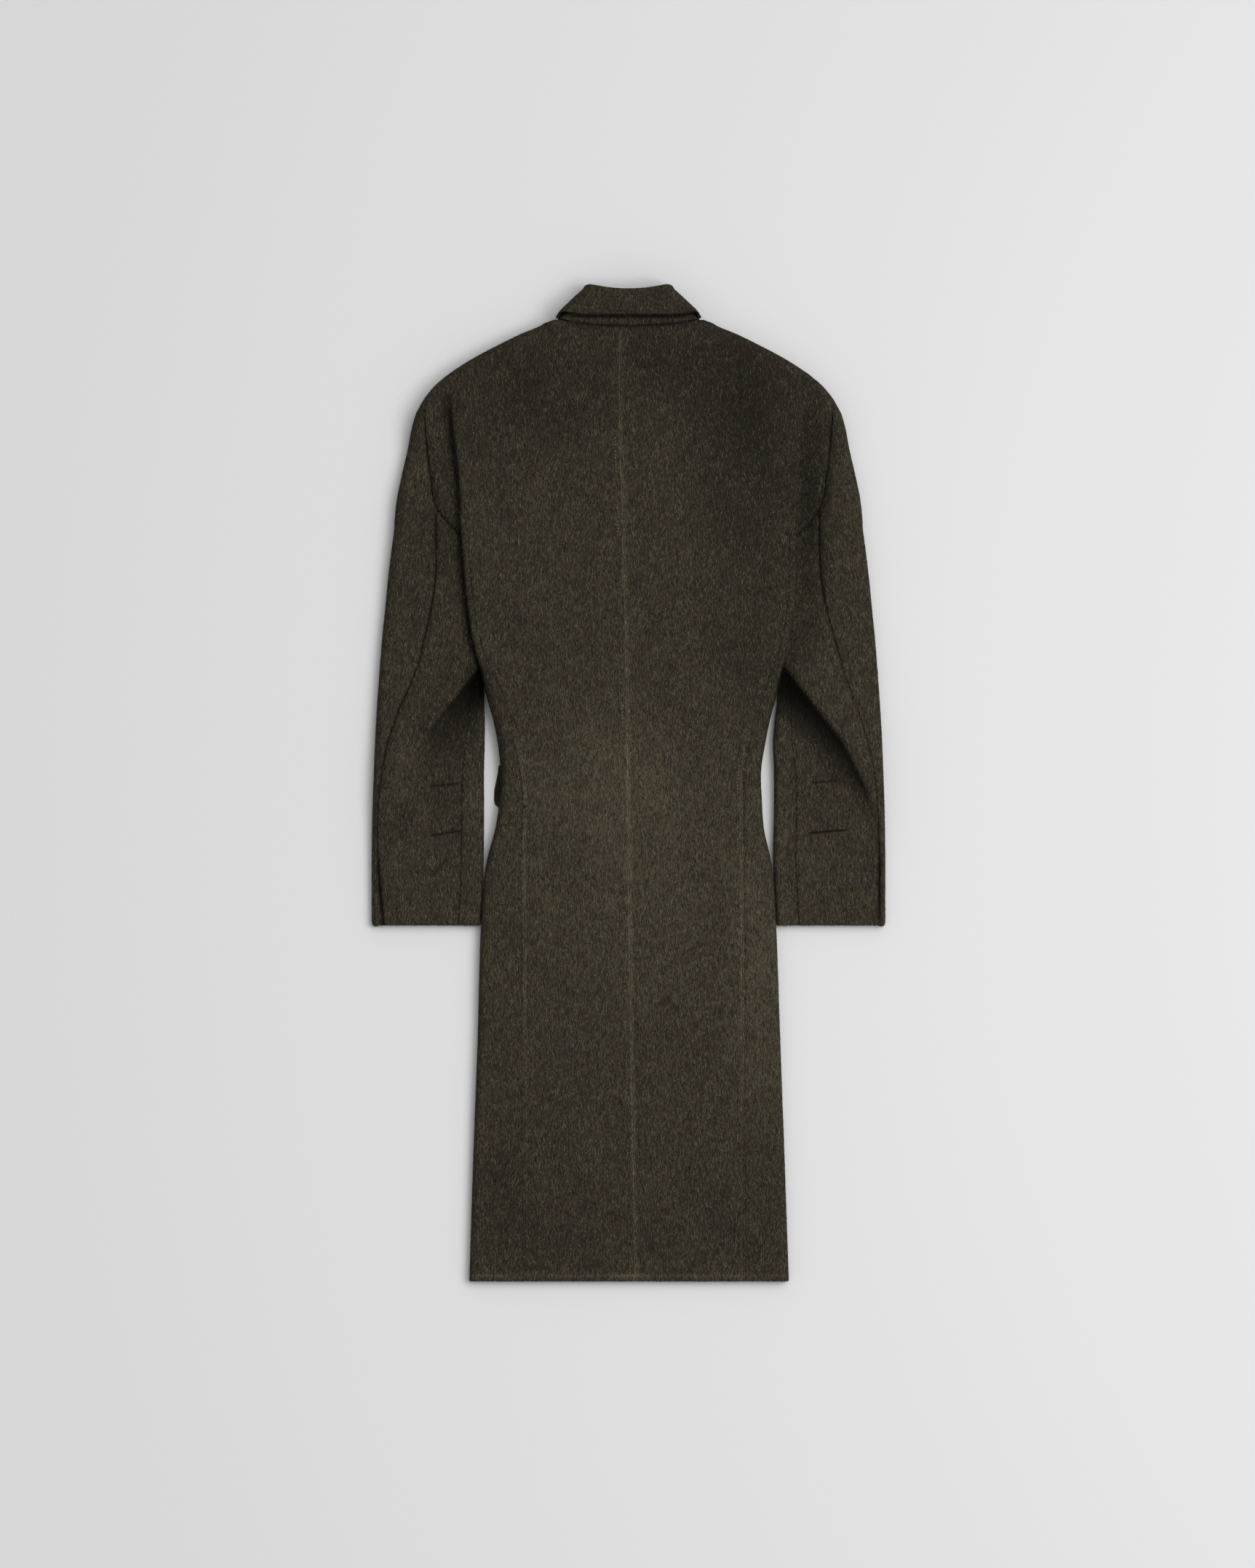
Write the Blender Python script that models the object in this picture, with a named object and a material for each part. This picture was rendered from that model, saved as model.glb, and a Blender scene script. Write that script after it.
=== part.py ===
"""A long wool coat laid flat on a surface with its back up.

Every panel is a sheet of points worked out from the sections in the tables below, and a Solidify
modifier gives it the cloth's thickness. Tables and sizes are in millimetres, meshes in metres.
+X is the right of the laid coat, +Y runs to the collar, +Z is up, and z = 0 is the surface.
"""

import math
from collections import namedtuple

import bpy
import numpy as np

# Driving dimensions
MM = 0.001
CLOTH = 2.6
HALF = CLOTH / 2
SEAM_GAP = 0.3
CURVED_GAP = 0.8
NAPE_Y = 533.4
HEM_DROP = 1116.0
UNDERARM = 243.0
CUFF_DROP = 700.0
LAP = 40.0
FLAP_LENGTH = 100.0
FLAP_DROPS = (513.0, 563.0)
FLAP_PROUD = 7.5
FLAP_CORNER = 9.0
SHOULDER_ROLL = 10.0
NECK_HALF = 88.0
WOOL = (0.036, 0.031, 0.022, 1.0)

# The body below the armholes, by its distance below the nape: the half-widths of both sides, the
# height, how far the side tucks in under the back, the angle of that tuck, and the side-back seams.
Body = namedtuple("Body", "drop left right height tuck angle seam_left seam_right")
BODY = [
    Body(UNDERARM, 195.0, 195.0, 32.0, 28.0, 90, 190.0, 190.0),
    Body(286, 192.0, 195.5, 32.0, 28.0, 90, 186.5, 190.0),
    Body(326, 188.0, 193.0, 31.0, 23.0, 90, 181.5, 186.5),
    Body(366, 182.0, 187.0, 29.0, 16.0, 90, 173.0, 180.0),
    Body(400, 173.5, 180.0, 28.5, 11.0, 78, 160.5, 168.0),
    Body(430, 166.6, 173.0, 26.5, 6.0, 50, 146.0, 158.0),
    Body(458, 158.5, 165.5, 24.0, 1.5, 12, 138.0, 149.0),
    Body(485, 153.0, 160.0, 21.0, 0.6, 0, 131.0, 139.0),
    Body(519, 149.6, 154.7, 20.0, 0.6, 0, 124.0, 132.6),
    Body(553, 150.5, 155.6, 19.0, 0.6, 0, 120.7, 131.8),
    Body(587, 155.6, 158.0, 18.5, 0.6, 0, 121.5, 132.0),
    Body(621, 164.0, 165.0, 18.0, 0.6, 0, 122.4, 132.2),
    Body(660, 168.7, 169.2, 17.5, 0.6, 0, 122.3, 132.4),
    Body(706, 172.6, 172.6, 17.0, 0.6, 0, 122.0, 132.6),
    Body(825, 176.0, 176.8, 16.0, 0.6, 0, 121.5, 133.0),
    Body(961, 181.0, 181.8, 15.0, 0.6, 0, 121.0, 133.5),
    Body(HEM_DROP, 186.0, 187.2, 14.0, 0.6, 0, 120.0, 134.0),
]

# The back above the armholes, by its share of the way from the underarm to the shoulder: the fold
# that laps over the sleeve, the armhole seam, the height, and the fold's turn and its depth.
Yoke = namedtuple("Yoke", "share fold armhole height turn depth")
YOKE = [
    Yoke(0.00, 195.0, 199.0, 32.0, 180, 14.0),
    Yoke(0.10, 196.5, 214.0, 32.0, 180, 14.0),
    Yoke(0.24, 197.0, 226.5, 32.0, 180, 14.0),
    Yoke(0.42, 199.0, 230.5, 31.5, 174, 9.0),
    Yoke(0.58, 202.5, 233.5, 31.0, 150, 4.0),
    Yoke(0.74, 206.0, 235.5, 30.0, 95, 3.0),
    Yoke(0.88, 209.0, 237.0, 29.0, 45, 2.0),
    Yoke(1.00, 211.0, 238.0, 28.0, 4, 1.5),
]

# The neck seam and the shoulder's outline: distance from the middle, and drop below the nape.
Edge = namedtuple("Edge", "out drop")
SHOULDER = [
    Edge(-12, 0.0), Edge(20, -0.5), Edge(54, -2.5), Edge(76, -5.5), Edge(NECK_HALF, -7.5),
    Edge(104, -0.9), Edge(125, 9.4), Edge(150, 22.0), Edge(175, 35.0), Edge(196, 47.6),
    Edge(214, 60.4), Edge(228, 73.0), Edge(238, 85.9), Edge(246.5, 101.0),
]

# The centre-back seam wanders a little across the middle line.
CENTRE_SEAM = [
    Edge(-10.0, -10), Edge(-9.4, 118), Edge(-6.8, 204), Edge(-2.5, 365), Edge(1.7, 718), Edge(8.5, HEM_DROP),
]

# A sleeve by its distance below the nape: outer and inner edges, height, the back seam of each arm
# and how far the front seam lies in from the inner edge.
Sleeve = namedtuple("Sleeve", "drop outer inner_left inner_right height seam_left seam_right front_seam")
SLEEVE = [
    Sleeve(UNDERARM, 274.5, 178.0, 178.0, 20.4, 225.0, 223.0, 14.0),
    Sleeve(286, 280.0, 176.0, 177.0, 18.5, 225.0, 224.4, 14.0),
    Sleeve(326, 284.0, 175.0, 177.0, 17.5, 230.0, 230.5, 14.0),
    Sleeve(366, 288.0, 172.5, 176.5, 17.0, 239.0, 241.0, 14.0),
    Sleeve(395, 290.3, 170.5, 175.5, 17.0, 246.0, 249.0, 14.0),
    Sleeve(420, 292.2, 169.0, 174.5, 17.0, 256.0, 257.0, 15.0),
    Sleeve(440, 293.6, 168.5, 173.5, 17.0, 265.0, 264.0, 17.0),
    Sleeve(460, 294.9, 168.0, 171.0, 17.0, 273.0, 271.0, 19.0),
    Sleeve(485, 296.2, 168.2, 169.0, 17.0, 281.0, 279.0, 22.0),
    Sleeve(520, 297.6, 169.0, 170.0, 16.5, 288.0, 286.5, 25.0),
    Sleeve(570, 299.3, 169.0, 170.0, 15.0, 293.0, 291.5, 26.0),
    Sleeve(621, 300.0, 170.0, 169.6, 13.5, 292.5, 293.0, 26.0),
    Sleeve(660, 300.0, 171.0, 171.4, 12.5, 290.0, 293.0, 26.0),
    Sleeve(CUFF_DROP, 300.0, 174.2, 174.2, 12.0, 286.0, 293.0, 26.0),
]

# The fold at each elbow, where the upper arm laps over the forearm.
Fold = namedtuple("Fold", "side out drop end_out end_drop lift reach")
ELBOW_FOLDS = [
    Fold(-1, 170.0, 414.0, 222.0, 470.0, 4.0, 46.0),
    Fold(1, 178.0, 404.0, 258.0, 492.0, 3.4, 52.0),
]

# The collar by its distance above the nape: half-widths of the stand and of the fall over it.
Collar = namedtuple("Collar", "rise stand fall")
COLLAR = [
    Collar(8.0, 78.0, 88.5), Collar(18.0, 73.0, 82.5), Collar(28.0, 63.0, 71.2),
    Collar(38.0, 52.0, 59.2), Collar(44.0, 46.0, 52.0),
]
COLLAR_TOP = 49.3
COLLAR_SAG = 5.5
SAG_HALF = 45.0
FALL_EDGE = 13.6
FALL_EDGE_RISE = 2.9
FALL_END = 9.6
STAND_LEVEL = 28.7
FALL_LEVEL = 32.6
COLLAR_END = 40.0


# Helpers for tables and paths
def along(table, key, column, at):
    """Read a table's column at a distance, on the smooth curve through its rows."""
    xs = np.array([getattr(row, key) for row in table], float)
    ys = np.array([getattr(row, column) for row in table], float)
    slopes = np.gradient(ys, xs)
    i = np.clip(np.searchsorted(xs, at) - 1, 0, len(xs) - 2)
    width = xs[i + 1] - xs[i]
    p = np.clip((at - xs[i]) / width, 0, 1)
    start = ys[i] * (1 + 2 * p) * (1 - p) ** 2 + slopes[i] * width * p * (1 - p) ** 2
    return start + ys[i + 1] * p * p * (3 - 2 * p) + slopes[i + 1] * width * p * p * (p - 1)


def ease(low, high, value):
    """Rise smoothly from 0 at low to 1 at high."""
    p = np.clip((np.asarray(value, float) - low) / (high - low), 0, 1)
    return p * p * (3 - 2 * p)


def trace(out, level, moves):
    """Walk a section from (out, level): each move is (length, turn in degrees, steps)."""
    points = [(out, level)]
    heading = 0.0
    for length, turn, steps in moves:
        bend = math.radians(turn) / steps
        step = length / steps
        chord = step * (math.sin(bend / 2) / (bend / 2) if abs(bend) > 1e-9 else 1.0)
        for _ in range(steps):
            out += chord * math.cos(heading + bend / 2)
            level += chord * math.sin(heading + bend / 2)
            heading += bend
            points.append((out, level))
    return np.array(points)


def resample(path, lengths):
    """Points at given distances along a path of (out, level) points."""
    steps = np.hypot(*np.diff(path, axis=0).T)
    run = np.concatenate([[0.0], np.cumsum(steps)])
    return np.column_stack([np.interp(lengths, run, path[:, 0]), np.interp(lengths, run, path[:, 1])])


def row_of(side, section, drop):
    """A section of (out, level) points as a row of the laid coat's points."""
    drops = np.broadcast_to(np.asarray(drop, float), len(section))
    return np.column_stack([side * section[:, 0], NAPE_Y - drops, section[:, 1]])


def wool(name):
    """The panel's cloth."""
    material = bpy.data.materials.new(name)
    material.use_nodes = True
    shader = material.node_tree.nodes["Principled BSDF"]
    shader.inputs["Base Color"].default_value = WOOL
    shader.inputs["Roughness"].default_value = 0.95
    shader.inputs["Metallic"].default_value = 0.0
    return material


def make_panel(name, patches):
    """Join grids of rows into one sheet, welding shared edges, and thicken it to cloth."""
    points, faces, known = [], [], {}
    for grid in patches:
        grid = np.asarray(grid, float)
        ids = np.empty(grid.shape[:2], int)
        for i, j in np.ndindex(*grid.shape[:2]):
            key = tuple(np.round(grid[i, j], 4))
            if key not in known:
                known[key] = len(points)
                points.append(grid[i, j] * MM)
            ids[i, j] = known[key]
        for i, j in np.ndindex(grid.shape[0] - 1, grid.shape[1] - 1):
            faces.append((ids[i, j], ids[i, j + 1], ids[i + 1, j + 1], ids[i + 1, j]))
    mesh = bpy.data.meshes.new(name)
    mesh.from_pydata([tuple(p) for p in points], [], [tuple(int(k) for k in f) for f in faces])
    mesh.materials.append(wool(name))
    mesh.shade_smooth()
    panel = bpy.data.objects.new(name, mesh)
    bpy.context.collection.objects.link(panel)
    wall = panel.modifiers.new("cloth", "SOLIDIFY")
    wall.thickness = CLOTH * MM
    wall.offset = 0.0
    wall.use_even_offset = False


# The body's sections: an edge's radius as a share of its depth, and the radii of a folded edge
EDGE_SHARE = 0.47
FOLD_RADIUS = 3.2
INNER_RADIUS = 2.6
BASE_RADIUS = 5.0
TUCK_RADIUS = 3.0
STACK = CLOTH + 0.4


def side_name(side):
    return "left" if side < 0 else "right"


def centre_out(side, drop):
    """Where a half of the back begins, measured outwards on its own side."""
    return side * along(CENTRE_SEAM, "drop", "out", drop) + SEAM_GAP / 2


def body_section(side, drop):
    """Half a section below the armhole, from the centre-back seam round the side to the middle."""
    width = along(BODY, "drop", side_name(side), drop)
    height = along(BODY, "drop", "height", drop)
    tuck = max(along(BODY, "drop", "tuck", drop), 0.5)
    angle = min(max(along(BODY, "drop", "angle", drop), 0.0), 90.0)
    share = angle / 90
    depth = height - CLOTH
    plain = EDGE_SHARE * depth
    nose = plain + (FOLD_RADIUS - plain) * share
    base = plain + (BASE_RADIUS - plain) * share
    inner = TUCK_RADIUS
    lean = math.radians(angle)
    down = depth - nose * (1 + math.sin(lean)) - tuck * math.cos(lean) - inner * math.sin(lean) - base
    start = centre_out(side, drop)
    run = width - HALF - nose - start
    nose_length = nose * math.radians(90 + angle)
    inner_length = max(inner * lean, 0.4)
    moves = [
        (run, 0, 10), (nose_length / 2, -(90 + angle) / 2, 4), (nose_length / 2, -(90 + angle) / 2, 4),
        (tuck, 0, 2), (inner_length, angle, 3), (max(down, 0.3), 0, 2), (base * math.pi / 2, -90, 4),
    ]
    path = trace(start, height - HALF, moves)
    path[:, 1] = np.maximum(path[:, 1], HALF)
    path[-1, 1] = HALF
    return path, run, nose_length / 2


def seam_length(side, drop):
    """Distance along the section from the centre seam to the side-back seam."""
    path, run, _ = body_section(side, drop)
    seam = along(BODY, "drop", "seam_" + side_name(side), drop) - path[0, 0]
    return min(seam, run - SEAM_INSET)


def floor_lift(side, out, drop):
    """How far the lower layer rises over the pocket flap."""
    if side > 0:
        return np.zeros_like(np.asarray(out, float))
    top, bottom = FLAP_DROPS
    inner = along(BODY, "drop", "left", (top + bottom) / 2) - FLAP_LENGTH
    rows = ease(top - 75, top - 28, drop) * (1 - ease(bottom + 26, bottom + 70, drop))
    return STACK * rows * ease(inner - 40, inner - 4, out)


BODY_DROPS = [row.drop for row in BODY]
SIDE_FRONT = 0.62
SEAM_INSET = 3.0
NECK_COLUMN = 3
RUN_COLUMNS = 9
NOSE_STEPS = 6


def run_columns(start, end):
    """Places across the back, with one column that ends at the corner of the neck."""
    neck = min(NECK_HALF, start + 0.6 * (end - start))
    sides = np.linspace(neck, end, RUN_COLUMNS - NECK_COLUMN)
    return np.concatenate([np.linspace(start, neck, NECK_COLUMN + 1)[:-1], sides])


def back_lower(side):
    """The back from the hem to just below the underarm, from the centre seam to the side-back seam."""
    rows = []
    for drop in reversed(BODY_DROPS[1:]):
        path, _, _ = body_section(side, drop)
        end = seam_length(side, drop) - SEAM_GAP / 2
        lengths = run_columns(path[0, 0], path[0, 0] + end) - path[0, 0]
        rows.append(row_of(side, resample(path, lengths), drop))
    return rows


def side_panel(side):
    """From the side-back seam over the side's edge and under to the front."""
    rows = []
    for drop in reversed(BODY_DROPS):
        path, run, half_nose = body_section(side, drop)
        crest = run + half_nose + 1.5
        start = seam_length(side, drop) + SEAM_GAP / 2
        upper = crest - (crest - start) * np.linspace(1, 0, 6) ** 1.4
        nose = np.linspace(crest, run + 2 * half_nose, 4)[1:]
        section = np.vstack([resample(path, np.concatenate([upper, nose])), path[19:]])
        seam = SIDE_FRONT * along(BODY, "drop", side_name(side), drop) + SEAM_GAP / 2
        floor = np.linspace(section[-1, 0], seam, 5)[1:]
        section = np.vstack([section, np.column_stack([floor, np.full(4, HALF)])])
        sunk = 1 - ease(2.0, 14.0, section[:, 1] - HALF)
        section[:, 1] += sunk * floor_lift(side, section[:, 0], drop)
        rows.append(row_of(side, section, drop + (2 * SEAM_GAP if drop == UNDERARM else 0)))
    return [np.array(rows)]


# The back above the armholes
def shoulder_inset(level):
    """The neck and shoulder outline as (out, drop), moved in by the roll where it is a shoulder."""
    out = np.linspace(SHOULDER[0].out, SHOULDER[-1].out, 80)
    drop = np.array([along(SHOULDER, "out", "drop", x) for x in out])
    slope = np.gradient(drop, out)
    inset = level * SHOULDER_ROLL * ease(NECK_HALF, NECK_HALF + 14, out) / np.hypot(1.0, slope)
    return out - slope * inset, drop + inset


YOKE_SHARES = [row.share for row in YOKE]


def yoke_section(side, share):
    """A section from the centre seam over the fold to the armhole seam, with each point's drop."""
    value = {name: along(YOKE, "share", name, share) for name in Yoke._fields[1:]}
    line_out, line_drop = shoulder_inset(1.0)
    start = centre_out(side, UNDERARM * (1 - share))
    turn = max(value["turn"], 2.0)
    level = value["height"] - HALF
    run = value["fold"] - HALF - FOLD_RADIUS - start
    bend = math.radians(turn)
    nose, inner = max(FOLD_RADIUS * bend, 2.0), max(INNER_RADIUS * bend, 2.0)
    folded = trace(start + run, level, [(nose, -turn, NOSE_STEPS), (value["depth"], 0, 2), (inner, turn, 6)])
    band = max(value["armhole"] - SEAM_GAP / 2 - folded[-1, 0], 1.0)
    upper = np.column_stack([run_columns(start, start + run - SEAM_INSET), np.full(RUN_COLUMNS, level)])
    tail = folded[-1] + np.column_stack([np.linspace(0, band, 5)[1:], np.zeros(4)])
    section = np.vstack([upper, folded, tail])
    top = np.interp(section[:, 0], line_out, line_drop)
    return section, UNDERARM + share * (top - UNDERARM)


def shoulder_roll(side):
    """Rows from the back's top edge over the shoulder's edge to the seam with the front."""
    section, drops = yoke_section(side, 1.0)
    out, level = section[NECK_COLUMN:, 0], section[NECK_COLUMN:, 1]
    top_out, _ = shoulder_inset(1.0)
    rows = []
    for angle in (90, 60, 30, 0, -30, -60, -90):
        lean = math.radians(angle)
        line_out, line_drop = shoulder_inset(1 - math.cos(lean))
        place = np.interp(out, top_out, line_out)
        fall = np.interp(out, top_out, line_drop)
        height = (level + HALF) / 2 + (level - HALF) / 2 * math.sin(lean)
        rows.append(row_of(side, np.column_stack([place, height]), fall))
    rows[0] = row_of(side, section, drops)[NECK_COLUMN:]
    return np.array(rows)


def back_panel(side):
    """One half of the back: its lower rows, the yoke with its fold, and the shoulder's roll."""
    yoke = []
    for share in YOKE_SHARES:
        section, drops = yoke_section(side, share)
        yoke.append(row_of(side, section, drops))
    lower = back_lower(side) + [yoke[0][:RUN_COLUMNS]]
    return [np.array(lower), np.array(yoke), shoulder_roll(side)]


def armhole_seam(side):
    """The armhole seam from the underarm to the shoulder as columns out, drop and level."""
    ends = []
    for share in YOKE_SHARES:
        section, drops = yoke_section(side, share)
        ends.append((section[-1, 0] + SEAM_GAP / 2, drops[-1], section[-1, 1]))
    return np.array(ends).T


# The fronts, on the surface
BREAK_DROP = 220.0
NECK_EDGE = 92.0
SHOULDER_SEAM = 1.2
WING_STEPS = 8
FRONT_COLUMNS = np.array([0.0, -20.0, -40.0, -52.0, -63.0, -73.0, -101.0, -133.0])


def front_edge(drop):
    """Where a front ends, past the middle below the break and slanting to the neck above it."""
    return -LAP + (LAP + NECK_EDGE) * np.clip((BREAK_DROP - drop) / BREAK_DROP, 0, 1)


def front_level(side, out, drop):
    """The left front is the upper one and steps over the edge of the right front."""
    over = 1 - ease(LAP + 5, LAP + 29, out) if side < 0 else 0.0
    return HALF + np.maximum(STACK * over, floor_lift(side, out, drop))


def front_row(side, seam, drop):
    """Points from the side-front seam to the front edge, kept apart where the front is narrow."""
    edge = front_edge(drop)
    out = np.append(seam + FRONT_COLUMNS, min(edge, seam - 140))
    return np.maximum(out, edge + 1.5 * np.arange(len(out))[::-1])


def front_panel(side):
    """One front: rows up to the underarm, then wider rows up to the shoulder seam."""
    lower = []
    for drop in reversed(BODY_DROPS):
        seam = SIDE_FRONT * along(BODY, "drop", side_name(side), drop) - SEAM_GAP / 2
        out = front_row(side, seam, drop)
        lower.append(row_of(side, np.column_stack([out, front_level(side, out, drop)]), drop))
    line_out, line_drop = shoulder_inset(1.0)
    inner_seam = SIDE_FRONT * along(BODY, "drop", side_name(side), UNDERARM) - SEAM_GAP / 2
    upper = []
    for share in YOKE_SHARES:
        armhole = along(YOKE, "share", "armhole", share) - CURVED_GAP
        out = front_row(side, inner_seam, UNDERARM * (1 - share))
        out = np.concatenate([np.linspace(armhole, out[0], WING_STEPS + 1)[:-1], out])
        top = np.interp(out, line_out, line_drop) + SHOULDER_SEAM
        drops = UNDERARM + share * (top - UNDERARM)
        upper.append(row_of(side, np.column_stack([out, front_level(side, out, UNDERARM)]), drops))
    lower[-1] = upper[0][WING_STEPS:]
    return [np.array(lower), np.array(upper)]


# The sleeves
CAP = [Edge(249.0, 104), Edge(253.0, 118), Edge(257.5, 142), Edge(264.0, 170), Edge(271.0, 205),
       Edge(273.2, 225), Edge(274.5, UNDERARM)]
FLOOR_COLUMN = 200.0
NOSE_ANGLES = np.radians(np.linspace(-90, 90, 8))


def elbow_lift(side, section, drop):
    """The upper arm rises along a slanting line and drops to the forearm just past it."""
    lift = np.zeros(len(section))
    for fold in ELBOW_FOLDS:
        if fold.side != side:
            continue
        run = np.array([fold.end_out - fold.out, fold.end_drop - fold.drop])
        length = np.hypot(*run)
        across = np.column_stack([section[:, 0] - fold.out, np.full(len(section), drop - fold.drop)])
        at = across @ run / length ** 2
        above = (across[:, 1] * -run[0] + across[:, 0] * run[1]) / length
        fade = ease(-0.05, 0.2, at) * (1 - ease(0.6, 1.15, at))
        lift += fold.lift * fade * ease(-5, 4, above) * (1 - ease(6, fold.reach, above))
    return lift * ease(0.55, 0.95, section[:, 1] / section[:, 1].max())


def nose(edge, reach, low, high, inward):
    """Half an ellipse round an edge, from its low side to its high side."""
    out = edge - inward * reach * (1 - np.cos(NOSE_ANGLES))
    return np.column_stack([out, (low + high) / 2 + (high - low) / 2 * np.sin(NOSE_ANGLES)])


def outer_half(seam_floor, outer, seam_top, level):
    """From the floor column out round the sleeve's outer edge to a seam on top."""
    edge = outer - HALF
    reach = min((level - HALF) / 2, 0.85 * (edge - max(seam_floor, 0)))
    bend = nose(edge, reach, HALF, level, 1)
    floor = np.column_stack([np.linspace(seam_floor, bend[0, 0], 4)[:-1], np.full(3, HALF)])
    if seam_top < bend[-1, 0] - 2:
        flat = np.column_stack([np.linspace(bend[-1, 0], seam_top, 4)[1:], np.full(3, level)])
        return np.vstack([floor, bend, flat])
    angle = math.acos(np.clip((seam_top - edge + reach) / reach, -1, 1))
    angles = np.concatenate([np.linspace(-math.pi / 2, angle - 0.12, 8), angle - 0.08 + 0.04 * np.arange(3)])
    bend = np.column_stack([edge - reach * (1 - np.cos(angles)),
                            (HALF + level) / 2 + (level - HALF) / 2 * np.sin(angles)])
    return np.vstack([floor, bend])


def sleeve_value(side, column, drop):
    if column in ("inner", "seam"):
        column = column + "_" + side_name(side)
    return along(SLEEVE, "drop", column, drop)


SLEEVE_DROPS = [row.drop for row in SLEEVE]


def top_sleeve(side):
    """The outer half of a sleeve, closed under the arm and open to the body above it."""
    seam_out, seam_drop, seam_level = armhole_seam(side)[:, ::-1]
    last = shoulder_roll(side)[::-1, -1]
    run = np.linspace(0, 1, len(last))
    first = np.column_stack([np.interp(np.linspace(0, 1, 14), run, last[:, k]) for k in range(3)])
    first += np.array([1.25 * side, -1.5, 0.0]) * CURVED_GAP
    rows = [first]
    for out, drop, level in zip(seam_out[1:-1], seam_drop[1:-1], seam_level[1:-1]):
        armhole = out + 2 * CURVED_GAP
        end = max(armhole, sleeve_value(side, "seam", UNDERARM) + SEAM_GAP / 2)
        rows.append(row_of(side, outer_half(armhole, along(CAP, "drop", "out", drop), end, level), drop))
    inner = []
    for drop in SLEEVE_DROPS:
        level = sleeve_value(side, "height", drop) - HALF
        seam = sleeve_value(side, "seam", drop) + SEAM_GAP / 2
        outer = outer_half(FLOOR_COLUMN, sleeve_value(side, "outer", drop), seam, level)
        outer[:, 1] += elbow_lift(side, outer, drop)
        at = drop + (4 * SEAM_GAP if drop == UNDERARM else 0)
        rows.append(row_of(side, outer, at))
        edge = sleeve_value(side, "inner", drop) + HALF
        bend = nose(edge, (level - HALF) / 2, HALF, level, -1)[::-1]
        start = edge - HALF + sleeve_value(side, "front_seam", drop) - SEAM_GAP / 2
        flat = np.column_stack([np.linspace(start, bend[0, 0], 3)[:-1], np.full(2, level)])
        floor = np.column_stack([np.linspace(bend[-1, 0], FLOOR_COLUMN, 3)[1:], np.full(2, HALF)])
        part = np.vstack([flat, bend, floor])
        part[:, 1] += elbow_lift(side, part, drop)
        inner.append(row_of(side, part, at))
    return [np.array(rows), np.array(inner)]


UNDER_DROPS = (217.0, 228.0, UNDERARM)


def under_sleeve(side):
    """The inner half of a sleeve, between the back seam and the front seam on top of the arm."""
    seam_out, seam_drop, seam_level = armhole_seam(side)[:, ::-1]
    rows = []
    for drop in UNDER_DROPS:
        level = np.interp(drop, seam_drop, seam_level)
        start = along(SLEEVE, "drop", "seam_" + side_name(side), UNDERARM) - SEAM_GAP / 2
        end = min(np.interp(drop, seam_drop, seam_out) + CURVED_GAP, start - 1.5)
        rows.append(row_of(side, np.column_stack([np.linspace(start, end, 10), np.full(10, level)]), drop))
    for drop in SLEEVE_DROPS:
        level = sleeve_value(side, "height", drop) - HALF
        edge = sleeve_value(side, "outer", drop) - HALF
        seam = sleeve_value(side, "seam", drop) - SEAM_GAP / 2
        reach = (level - HALF) / 2
        end = sleeve_value(side, "inner", drop) + sleeve_value(side, "front_seam", drop) + SEAM_GAP / 2
        first = np.linspace(seam, min(edge - reach, seam - 2), 4)
        out = np.concatenate([first, np.linspace(first[-1], end, 7)[1:]])
        over = np.clip((out - edge + reach) / reach, 0, 1)
        levels = (HALF + level) / 2 + reach * np.sqrt(1 - over ** 2)
        section = np.column_stack([out, levels])
        section[:, 1] += elbow_lift(side, section, drop)
        rows.append(row_of(side, section, drop + (4 * SEAM_GAP if drop == UNDERARM else 0)))
    return [np.array(rows)]


# The collar
def collar_section(half_width, high, low):
    """A whole band from one hidden end under the neck, over the back, to the other end."""
    reach = min((high - low) / 2, 11.0)
    bend = nose(half_width - HALF, reach, low, high, 1)
    under = np.column_stack([np.linspace(COLLAR_END, bend[0, 0], 3)[:-1], np.full(2, low)])
    flat = np.column_stack([np.linspace(bend[-1, 0], 0, 5)[1:], np.full(4, high)])
    half = np.vstack([under, bend, flat])
    mirrored = half[-2::-1] * np.array([-1, 1])
    return np.vstack([half, mirrored])


def collar_row(section, rise):
    """A section at a rise above the nape, dipping in the middle towards the top."""
    sag = COLLAR_SAG * (1 - np.clip(section[:, 0] / SAG_HALF, -1, 1) ** 2) * ease(20, COLLAR_TOP, rise)
    return row_of(1, section, sag - rise)


STAND_LOW = HALF + STACK
STAND_HIGH = STAND_LEVEL - HALF
FALL_HIGH = FALL_LEVEL - HALF


def collar_stand():
    """The band that rises from the neck seam to the collar's fold."""
    rows = [collar_row(collar_section(row.stand, STAND_HIGH, STAND_LOW), row.rise) for row in COLLAR]
    section = collar_section(COLLAR[0].stand, STAND_HIGH, STAND_LOW)
    seam = np.array([along(SHOULDER, "out", "drop", abs(x)) for x in section[:, 0]]) - 3 * SEAM_GAP
    on_top = section[:, 1] > STAND_HIGH - 8
    bottom = row_of(1, section, np.where(on_top, seam, -6.5))
    return [np.array([bottom] + rows)]


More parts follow.
